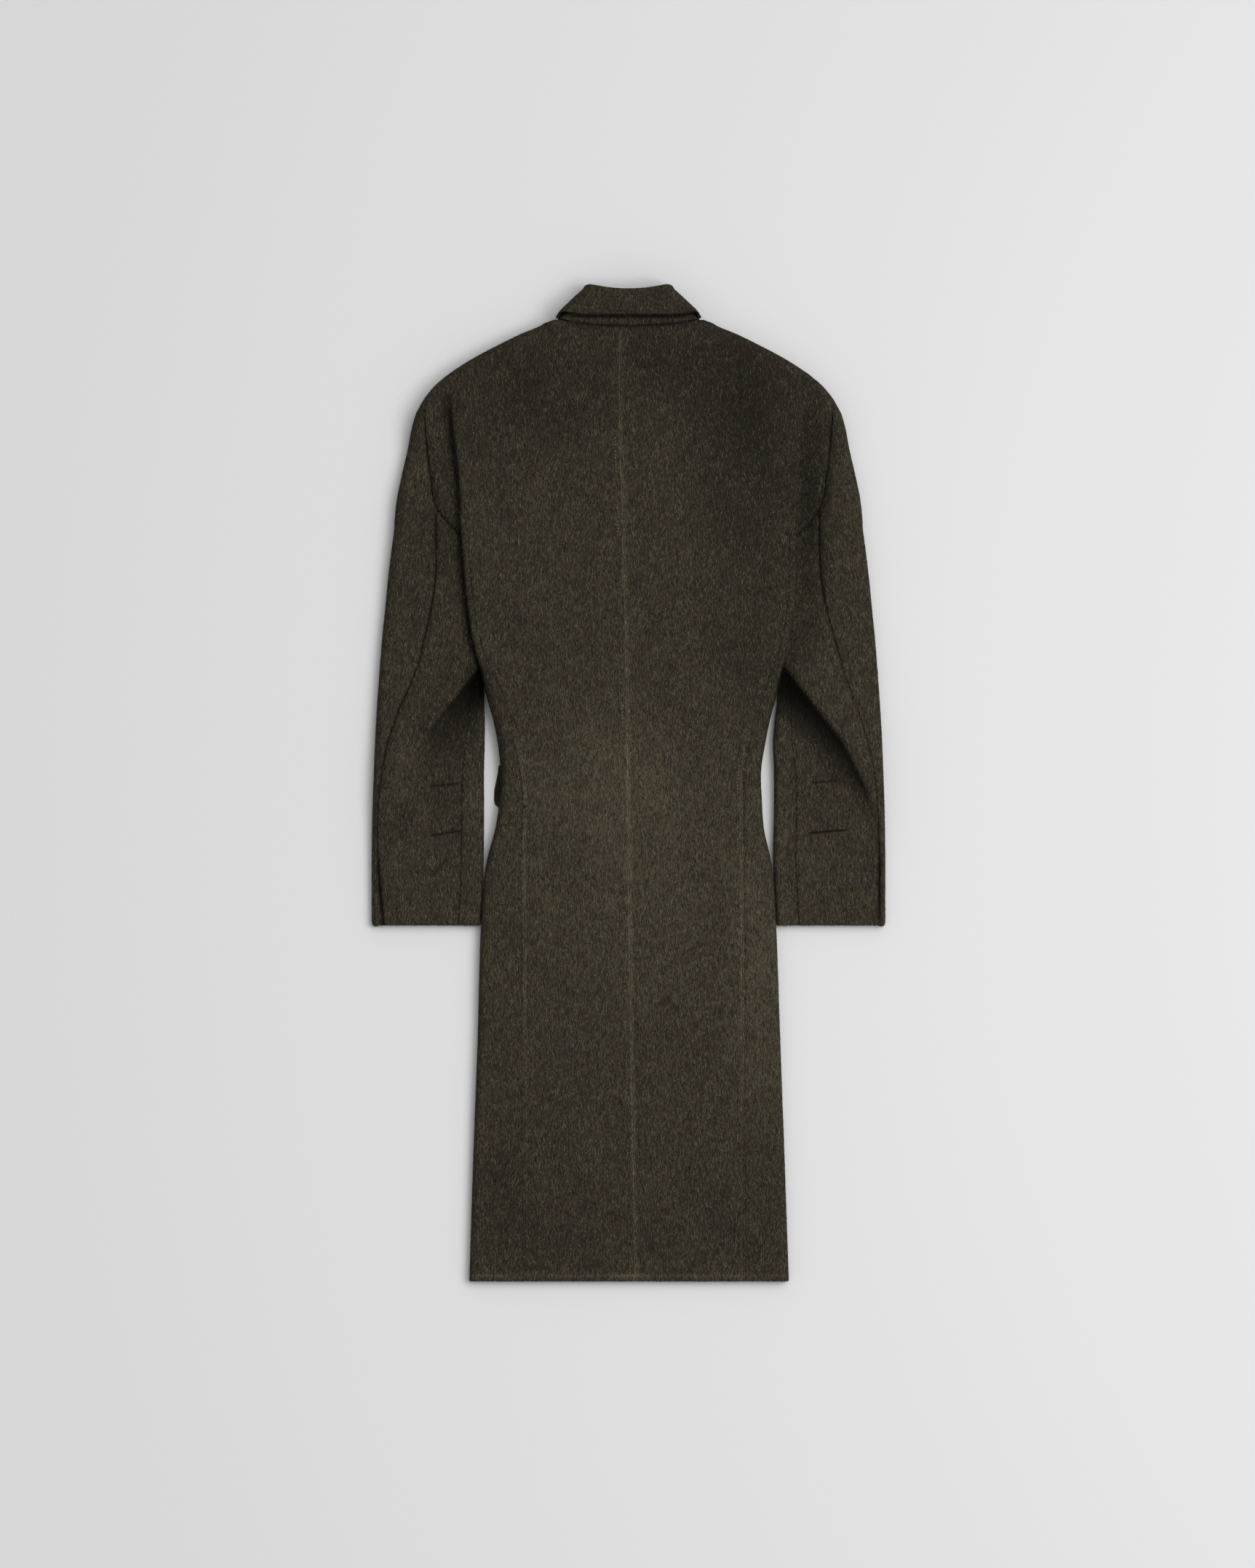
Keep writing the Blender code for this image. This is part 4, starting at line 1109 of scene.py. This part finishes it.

# %% [markdown]
# The nap
# Up close the streaks are real fibres that stand a little off the cloth, cross the seams and fringe the
# outline. Each one here is a single thin triangle, wide at the root and pointed at the tip, and they are
# joined by colour into a few meshes. Fibres run down the coat with a slow wander, and patches of lighter
# and darker ones give the mottled look: partly the wool's own random tone, partly painted shade and painted
# sheen set by place, with fibres left out where the painted shade is deepest. Most lie on the sides that
# show, fewer on those underneath.

# %% Nap fibres
NAP_COUNT = 475000
NAP_COLOURS = {
    "charcoal": (0.0182, 0.0142, 0.0098, 1.0),
    "olive": (0.0426, 0.0377, 0.0276, 1.0),
    "straw": (0.119, 0.107, 0.063, 1.0),
    "brown": (0.105, 0.071, 0.036, 1.0),
}
UNDERSIDE_SHARE = 0.2
ARM_TURN, SLOW_TURN, BRUSHED_TURN = 0.10, 0.10, 0.75
WANDER, COLLAR_WANDER = 0.16, 0.24
SHORTEST, LENGTH_SHAPE, COLLAR_SHORTER, END_LENGTH = 1.4, 2.6, 0.4, 2.2
TONE_AND_SHADE_LIMITS = (-0.35, 0.75)


def slow_field(points, wave, seed):
    """A slow random pattern of about unit height: the mean of eight sine waves in random directions."""
    rng = np.random.default_rng(seed)
    turn, phase = rng.uniform(0, 2 * np.pi, (2, 8))
    rate = 2 * np.pi / (wave * rng.uniform(0.6, 1.8, 8))
    along_wave = points[:, :1] * np.cos(turn) + points[:, 1:2] * np.sin(turn) + points[:, 2:3]
    return np.sin(along_wave * rate + phase).sum(axis=1) / 2.0


def streak_field(points, across, down, seed):
    """Random values in cells `across` wide and `down` long, each column moved against its neighbour."""
    values = np.random.default_rng(seed).standard_normal(65536)
    column = np.floor((points[:, 0] + points[:, 2] + 2.0 * slow_field(points, 70.0, seed + 1)) / across)
    row = np.floor(points[:, 1] / down + 0.618 * column)
    return values[(column * 7919 + row * 104729).astype(np.int64) % len(values)]


HEM_STITCHES = HEM_DROP - 7.6
SEAM_LINE = 1.4
ELBOW_FOLD_SHADOW = 3.4
ARM_SEAM_DARK, BODY_SEAM_LIGHT, BODY_FOLD_SHADOW = 1.7, 1.2, 1.2
UNDER_FALL_SHADOW, NECK_DARK, DART_DARK = 2.4, 1.5, 3.0
SHADE_POWER = 0.8
BRUSHED_SEAM = 2.5
# Soft ovals of painted shade and painted sheen: a darker upper back and elbow pockets, a lighter waist.
NAP_SHADES = table("x drop half_x half_drop amount", [
    (141, 94, 60, 95, -0.80), (141, 230, 50, 80, -0.35), (48, 35, 80, 55, -0.45),
    (-114, 77, 85, 75, -0.52), (141, 383, 40, 70, -0.30), (-12, 528, 105, 80, 0.50),
    (14, 680, 120, 120, 0.32), (-139, 1030, 60, 90, -0.25), (0, 1063, 150, 60, -0.15),
    (150, 1020, 45, 80, -0.15), (-200, 536, 40, 60, -0.20), (214, 200, 20, 100, -0.65),
    (-214, 200, 16, 90, -0.30), (0, -30, 90, 24, -0.20), (-211, 99, 9, 16, -0.7),
    (-177, 421, 13, 22, -2), (-198, 464, 27, 34, -0.6), (186, 424, 11, 21, -1.1),
    (155, 760, 32, 170, 0.50), (-262, 494, 13, 30, 0.35), (-226, 481, 16, 20, -0.40),
    (-262, 576, 12, 18, -0.35), (-185, 550, 8, 24, 0.40), (-157, 537, 5, 30, -1),
    (-246, 280, 26, 85, -0.20), (-146, 492, 9, 42, -0.40),
])
SEAM_DARK = table("drop dark_left dark_right", [
    (UNDER_TOP, 1, 1.2), (330, 0.95, 0.9), (400, 0.9, 0.45), (470, 0.9, 0.25), (520, 0.6, 0.2),
    (570, 0.45, 0.3), (610, 0.6, 0.9), (640, 1.3, 1.4), (670, 1.5, 1.2), (CUFF_DROP, 1.3, 0.3),
])


def dark_seams(side, out, drop):
    """1 on the seams of the arm that show as dark lines, falling off within about a millimetre."""
    line = bell(out - armhole_out(side, drop), SEAM_LINE) * (drop < UNDERARM) * ease(80, 130, drop)
    if side == RIGHT:
        line *= 1 - 0.6 * ease(190, 212, drop)
    seam = bell(out - sleeve_value(side, "seam", drop), 1.3 + 0.9 * ease(600, 640, drop))
    line += on_side(SEAM_DARK, side, "dark", drop) * seam * (drop > UNDER_TOP)
    return line + 0.35 * bell(out - front_seam_out(side, drop), 1.2) * ease(490, 530, drop)


def light_seams(side, out, drop):
    """1 on the seams of the body, which lie a little proud and catch the light."""
    seam = on_side(BODY, side, "seam", drop)
    line = bell(out - seam, SEAM_LINE) * ease(430, 520, drop) * (1 - 0.5 * ease(760, 1000, drop))
    line -= 0.7 * bell(out - seam - 2.6, 1.0) * ease(430, 520, drop)
    centre = side * along(CENTRE_SEAM, "out", drop)
    hem = 0.8 * bell(drop - HEM_STITCHES, SEAM_LINE)
    return line + 0.55 * bell(out - centre, SEAM_LINE) * (drop > 2) + hem


def dart_line(x, drop):
    """1 on the short darts of the forearms."""
    line = np.zeros(len(x))
    for row in DARTS:
        at, off = line_place(x, drop, row)
        line += row.dark * bell(off, SEAM_LINE) * band(-0.05, 0.05, 0.95, 1.05, at)
    return line


def nap_shade(points):
    """Painted shade and sheen: soft ovals, dark and light seams, and shadows at the folds and under the
    collar.
    """
    x, drop = points[:, 0], NAPE_Y - points[:, 1]
    total = np.zeros(len(points))
    # Soft ovals of painted shade and painted sheen.
    for row in NAP_SHADES:
        total += row.amount * oval(x, drop, row)
    for side in (LEFT, RIGHT):
        out = side * x
        on_arm = out > fold_out(side, drop) - 2
        # Painted shadow on the forearm just below the elbow's fold.
        for row in (step for step in STEPS if step.side == side):
            at, above = bent_place(out, drop, row.line)
            wide = row.wide + (row.thin - row.wide) * np.clip(at / row.shadow, 0, 1)
            fade = band(-0.1, 0.05, row.hold, row.shadow, at)
            below = (1 - ease(-1.8, 0.5, above)) * bell(np.maximum(-above - 3, 0), wide)
            total -= ELBOW_FOLD_SHADOW * on_arm * fade * below
        total -= ARM_SEAM_DARK * on_arm * dark_seams(side, out, drop)
        total += BODY_SEAM_LIGHT * (out > -20) * (1 - on_arm) * light_seams(side, out, drop)
    # Painted shadow along the left body's fold where it lies over the sleeve.
    past = -x - fold_out(LEFT, drop)
    total -= BODY_FOLD_SHADOW * bell(past - 2, 2.2) * band(60, 130, 420, 460, drop)
    # Painted shadow on the collar's stand just under the fall's edge.
    under_fall = -FALL_EDGE - FALL_EDGE_RISE * ease(50, 76, np.abs(x)) + 2.4
    total -= UNDER_FALL_SHADOW * np.exp(-((drop - under_fall) / 2.6) ** 4) * (np.abs(x) < 86)
    neck = along(SHOULDER, "drop", np.abs(x))
    total -= NECK_DARK * bell(drop - neck, SEAM_LINE) * (np.abs(x) < 74)
    return total - DART_DARK * dart_line(x, drop)


def near_brushed_seam(points):
    """1 on the seams that the brushing has hidden, on the sides of the back and on the sleeves."""
    out, drop = np.abs(points[:, 0]), NAPE_Y - points[:, 1]
    near = np.zeros(len(points))
    for side in (LEFT, RIGHT):
        front, body = front_seam_out(side, drop), on_side(BODY, side, "seam", drop)
        far = np.minimum(np.abs(out - front), np.abs(out - body))
        own = (side * points[:, 0] > 0) * (drop > UNDERARM)
        near += own * bell(far, BRUSHED_SEAM)
        back_seam = bell(out - sleeve_value(side, "seam", drop), BRUSHED_SEAM)
        near += own * back_seam * np.clip(1 - on_side(SEAM_DARK, side, "dark", drop), 0, 1)
    return near


def nap_roots(rng):
    """Random places on the outer faces, by area, with the face's normal at each."""
    corners = np.concatenate(list(surfaces.values()))
    ends = {name: grid[..., 1].min() for name, grid in surfaces.items()}
    ends["collar_fall"] = NAPE_Y + FALL_EDGE
    lowest = np.concatenate([np.full(len(grid), ends[name]) for name, grid in surfaces.items()])
    cross = quad_normals(corners)
    area = np.linalg.norm(cross, axis=1)
    normal = cross / np.maximum(area, 1e-9)[:, None]
    weight = area * np.where(normal[:, 2] > -0.35, 1.0, UNDERSIDE_SHARE)
    pick = rng.choice(len(corners), NAP_COUNT, p=weight / weight.sum())
    a, b = rng.random((2, NAP_COUNT, 1))
    quad = corners[pick]
    spot = (quad[:, 0] * (1 - a) + quad[:, 1] * a) * (1 - b) + (quad[:, 3] * (1 - a) + quad[:, 2] * a) * b
    return spot, normal[pick], lowest[pick]


def make_nap():
    """Triangles from root to tip: tip = root + length * (down turned by the wander) + lift * normal."""
    rng = np.random.default_rng(7)
    root, normal, lowest = nap_roots(rng)
    down = unit(np.array([0.0, -1.0, 0.0]) - normal * -normal[:, 1:2])
    across = np.cross(normal, down)
    arm = ease(200, 290, np.abs(root[:, 0])) * np.sign(root[:, 0]) * ARM_TURN
    collar = ease(9, 14, root[:, 1] - NAPE_Y)
    wander = WANDER + COLLAR_WANDER * collar
    turn = arm + SLOW_TURN * slow_field(root, 45.0, 3) + wander * rng.standard_normal(NAP_COUNT)
    turn += BRUSHED_TURN * near_brushed_seam(root) * rng.choice([-1, 1], NAP_COUNT)
    way = down * np.cos(turn)[:, None] + across * np.sin(turn)[:, None]
    length = (SHORTEST + rng.gamma(LENGTH_SHAPE, 1.0, NAP_COUNT)) * (1 - COLLAR_SHORTER * collar)
    length = np.minimum(length, np.maximum(root[:, 1] - lowest, 0) + rng.uniform(0.3, 1.4, NAP_COUNT))
    for row in DARTS:
        at, off = line_place(root[:, 0], NAPE_Y - root[:, 1], row)
        length = np.where((at > 0) & (at < 1) & (off > 0), np.minimum(length, off + 0.2), length)
    for row in STEPS:
        at, above = bent_place(row.side * root[:, 0], NAPE_Y - root[:, 1], row.line)
        over = (at > 0) & (at < 0.8 * row.shadow) & (above > 0)
        length = np.where(over, np.minimum(length, 1.2 * above + 0.8), length)
    length = np.where(np.abs(normal[:, 1]) > 0.55, np.minimum(length, END_LENGTH), length)
    lift = rng.gamma(2.0, 0.16, NAP_COUNT)
    half_width = rng.uniform(0.13, 0.32, NAP_COUNT)[:, None]
    start = root + normal * rng.uniform(0.0, 0.25, (NAP_COUNT, 1))
    tip = start + way * length[:, None] + normal * lift[:, None]
    tip[:, 2] = np.maximum(tip[:, 2], 0.0)
    wide = np.cross(normal, way) * half_width
    fibres = np.stack([start - wide, start + wide, tip], axis=1)
    # Painted shade and sheen from nap_shade push fibres towards darker or lighter colours, on top of the
    # wool's own random tone; where the painted shade is deepest the fibres are left out so the darker cloth
    # shows.
    shade = nap_shade(root)
    thinned_for_shade = rng.random(NAP_COUNT) > np.clip(2.0 + shade, 0.03, 1.0)
    tone_and_shade = shade + 0.08 * slow_field(root, 60.0, 11) + 0.09 * slow_field(root, 18.0, 12)
    tone_and_shade += 0.43 * streak_field(root, 0.8, 3.0, 21) + 0.85 * rng.standard_normal(NAP_COUNT)
    rusty = 0.7 * slow_field(root, 24.0, 13) + 0.6 * rng.standard_normal(NAP_COUNT) > 0.75
    kind = np.digitize(tone_and_shade, TONE_AND_SHADE_LIMITS)
    kind = np.where((kind == 2) & rusty, 3, kind)
    made = []
    for number, (name, colour) in enumerate(NAP_COLOURS.items()):
        own = fibres[(kind == number) & ~thinned_for_shade]
        nap = mesh_object("nap_" + name, own.reshape(-1, 3), np.arange(len(own) * 3).reshape(-1, 3))
        nap.data.materials.append(plain_material(nap.name, colour, 0.9, 0.06))
        made.append(nap)
        print(nap.name, len(own), "fibres")
    return made


naps = make_nap()
# Each point of the cloth keeps the painted shade and sheen of nap_shade, which darkens and lightens the
# wool's colour.
for piece in pieces.values():
    spots = np.empty(len(piece.data.vertices) * 3)
    piece.data.vertices.foreach_get("co", spots)
    shade = piece.data.attributes.new("shade", "FLOAT", "POINT")
    light = np.exp(SHADE_POWER * nap_shade(spots.reshape(-1, 3) / MM))
    shade.data.foreach_set("value", light.astype(np.float32))

# %% [markdown]
# Stitches
# A row of stitches runs beside the centre seam, along the side seams at the waist, round the collar and
# above the hem. Each stitch is a spindle, round in the middle and pointed at both ends, so it sinks into
# the wool like real thread, and all of them are one mesh. The thread is straw coloured and fades in places.

# %% Stitches
THREAD_RADIUS = 0.26
STITCH_PITCH = 3.9
STITCH_LENGTH = 2.9
SEAM_STITCHES = 6.6
SIDE_STITCHES = 4.5
BARELY_HIDDEN, HALF_HIDDEN, MOSTLY_HIDDEN = -0.4, 0.4, 1.3


def stitch_lines():
    """Rows of stitches: their panels, how far the nap hides them, and their middles as x and drop."""
    drop = np.arange(10, HEM_DROP - 10, STITCH_PITCH)
    yield ("back_left",), HALF_HIDDEN, along(CENTRE_SEAM, "out", drop) - SEAM_STITCHES, drop
    across = np.arange(-183, 183, STITCH_PITCH)
    skirt = ("back_left", "back_right", "side_left", "side_right")
    yield skirt, HALF_HIDDEN, across, np.full(len(across), HEM_STITCHES)
    across = np.arange(-68, 69, STITCH_PITCH)
    yield ("collar_fall",), BARELY_HIDDEN, across, -23.0 + 3.0 * (1 - (across / 68) ** 2)
    drop = np.arange(392, 640, STITCH_PITCH)
    for side, hidden in ((LEFT, MOSTLY_HIDDEN), (RIGHT, HALF_HIDDEN)):
        seam = on_side(BODY, side, "seam", drop)
        yield ("back_" + side_name(side),), hidden, side * (seam - SIDE_STITCHES), drop


def surface_level(names, x, y):
    """The height of the upper faces of some panels at each place: the face with the nearest middle."""
    corners = np.concatenate([surfaces[name] for name in names])
    cross = quad_normals(corners)
    middle = corners[cross[:, 2] > 0.5 * np.linalg.norm(cross, axis=1)].mean(axis=1)
    far = (x[:, None] - middle[None, :, 0]) ** 2 + (y[:, None] - middle[None, :, 1]) ** 2
    return middle[far.argmin(axis=1), 2]


def make_stitches():
    """Spindles: two tips and two square rings at a quarter and three quarters of the length."""
    rng = np.random.default_rng(5)
    spots, ways, covers = [], [], []
    for names, hidden, x, drop in stitch_lines():
        y = NAPE_Y - drop
        spots.append(np.stack([x, y, surface_level(names, x, y) + 0.3], axis=-1))
        ways.append(np.gradient(spots[-1], axis=0))
        covers.append(np.full(len(x), hidden))
    spot, way, cover = np.concatenate(spots), np.concatenate(ways), np.concatenate(covers)
    shown = slow_field(spot, 55.0, 31) + 0.5 * rng.standard_normal(len(spot)) > cover
    spot, way = spot[shown], way[shown]
    way[:, 2] = 0
    way = unit(way)
    turn = 0.12 * rng.standard_normal(len(spot))
    way = np.stack([way[:, 0] * np.cos(turn) - way[:, 1] * np.sin(turn),
                    way[:, 0] * np.sin(turn) + way[:, 1] * np.cos(turn), 0 * turn], axis=-1)
    half = way * (0.5 * STITCH_LENGTH * rng.uniform(0.7, 1.1, len(spot)))[:, None]
    aside = np.stack([-way[:, 1], way[:, 0], 0 * turn], axis=-1) * THREAD_RADIUS
    up = np.array([0.0, 0.0, THREAD_RADIUS])
    ring = [aside, up + 0 * aside, -aside, -up + 0 * aside]
    first, second = ([spot + end * half / 2 + r for r in ring] for end in (-1, 1))
    points = np.stack([spot - half] + first + second + [spot + half], axis=1).reshape(-1, 3)
    corner = np.arange(4)
    after = (corner + 1) % 4
    cells = np.concatenate([
        np.stack([0 * corner, 1 + after, 1 + corner], axis=-1),
        np.stack([1 + corner, 1 + after, 5 + after], axis=-1),
        np.stack([1 + corner, 5 + after, 5 + corner], axis=-1),
        np.stack([9 + 0 * corner, 5 + corner, 5 + after], axis=-1),
    ])
    faces = (cells[None] + 10 * np.arange(len(spot))[:, None, None]).reshape(-1, 3)
    stitches = mesh_object("stitches", points, faces)
    material, shader, root = new_tree("thread")
    where = root.node("ShaderNodeTexCoord", {}, "Object")
    worn = root.node("ShaderNodeTexNoise", {}, "Fac", Vector=where, Scale=16.0, Detail=2.0)
    colour = worn.ramp(0.42, 0.62).mix((0.075, 0.062, 0.036, 1.0), (0.36, 0.30, 0.18, 1.0))
    root.feed(shader.inputs["Base Color"], colour)
    set_inputs(shader, {"Roughness": 0.8})
    stitches.data.materials.append(material)
    stitches.data.shade_smooth()
    print("stitches", len(spot), "of", len(faces), "triangles")
    return stitches


stitches = make_stitches()

# %% [markdown]
# Fastening the shells to the frame
# Each shell rides on the coat's one body and stands for its own panel, whose plain solid is hidden. Its
# cut's size is printed beside its cloth: a pattern piece is measured flat, before it is folded round the
# coat.

Cut = namedtuple("Cut", "width length area")
CUTS = {
    "back": Cut(0.27, 1.15, 0.215),
    "side": Cut(0.19, 0.874, 0.12),
    "front": Cut(0.28, 1.13, 0.215),
    "top_sleeve": Cut(0.26, 0.62, 0.125),
    "under_sleeve": Cut(0.11, 0.485, 0.046),
    "collar_stand": Cut(0.27, 0.055, 0.0125),
    "collar_fall": Cut(0.33, 0.045, 0.0125),
    "pocket_flap": Cut(0.11, 0.051, 0.0054),
}


def flat_size(piece):
    """Half the closed surface, in square metres: what the cloth of this piece measures now."""
    mesh = piece.data
    areas = np.empty(len(mesh.polygons))
    mesh.polygons.foreach_get("area", areas)
    return areas.sum() / 2


for added in naps + [stitches]:
    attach(added, "root")
for name, piece in pieces.items():
    cut = CUTS[name.removesuffix("_left").removesuffix("_right")]
    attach(piece, "root")
    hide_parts(name)
    on_it = naps + [stitches] if name == "back_left" else []
    print(name, "cloth", round(flat_size(piece), 4), "cut", cut.area, "m2")

# %% [markdown]
# Floor, light and camera
# A coat laid out for a picture lies on pale paper under soft light. The light here comes from the upper
# right, large and soft, so the thin shadows fall to the left and below. The camera looks straight down.

# %% Stage
FRAME_HIGH = 1.8326
VIEW_CENTRE = (-0.00128, -0.00128)
CAMERA_HEIGHT = 12.0
COAT_MIDDLE = 0.012
SENSOR_HEIGHT = 24.0
FLOOR_HALF = 6000.0


def add_light(name, kind, way, **settings):
    """A light that shines along a direction."""
    data = bpy.data.lights.new(name, kind)
    for setting, value in settings.items():
        setattr(data, setting, value)
    lamp = add_object(name, data)
    lamp.rotation_euler = Vector(way).to_track_quat("-Z", "Y").to_euler()
    return lamp


corners = FLOOR_HALF * np.array([(-1, -1, 0), (1, -1, 0), (1, 1, 0), (-1, 1, 0)])
floor = mesh_object("floor", corners, np.array([[0, 1, 2, 3]]))
floor.data.materials.append(plain_material("paper", (0.80, 0.80, 0.80, 1.0), 0.9, 0.1))
window = add_light("window", "AREA", (-2.3, 0.0, -3.2), shape="SQUARE", size=2.0, energy=57.0)
window.location = (2.4, 0.0, 3.2)
add_light("sky", "SUN", (-0.42, -0.42, -1.0), energy=0.88, angle=np.radians(40))
world = bpy.data.worlds.new("room")
bpy.context.scene.world = world
world.use_nodes = True
set_inputs(world.node_tree.nodes["Background"], {"Color": (0.985, 0.985, 1.0, 1.0), "Strength": 0.432})

camera_data = bpy.data.cameras.new("camera")
camera = add_object("camera", camera_data)
camera.location = (*VIEW_CENTRE, CAMERA_HEIGHT)
camera_data.sensor_fit = "VERTICAL"
camera_data.sensor_height = SENSOR_HEIGHT
camera_data.lens = SENSOR_HEIGHT * (CAMERA_HEIGHT - COAT_MIDDLE) / FRAME_HIGH
bpy.context.scene.camera = camera
bpy.context.scene.view_settings.view_transform = "Standard"
print("camera lens", round(camera_data.lens, 2), "mm")
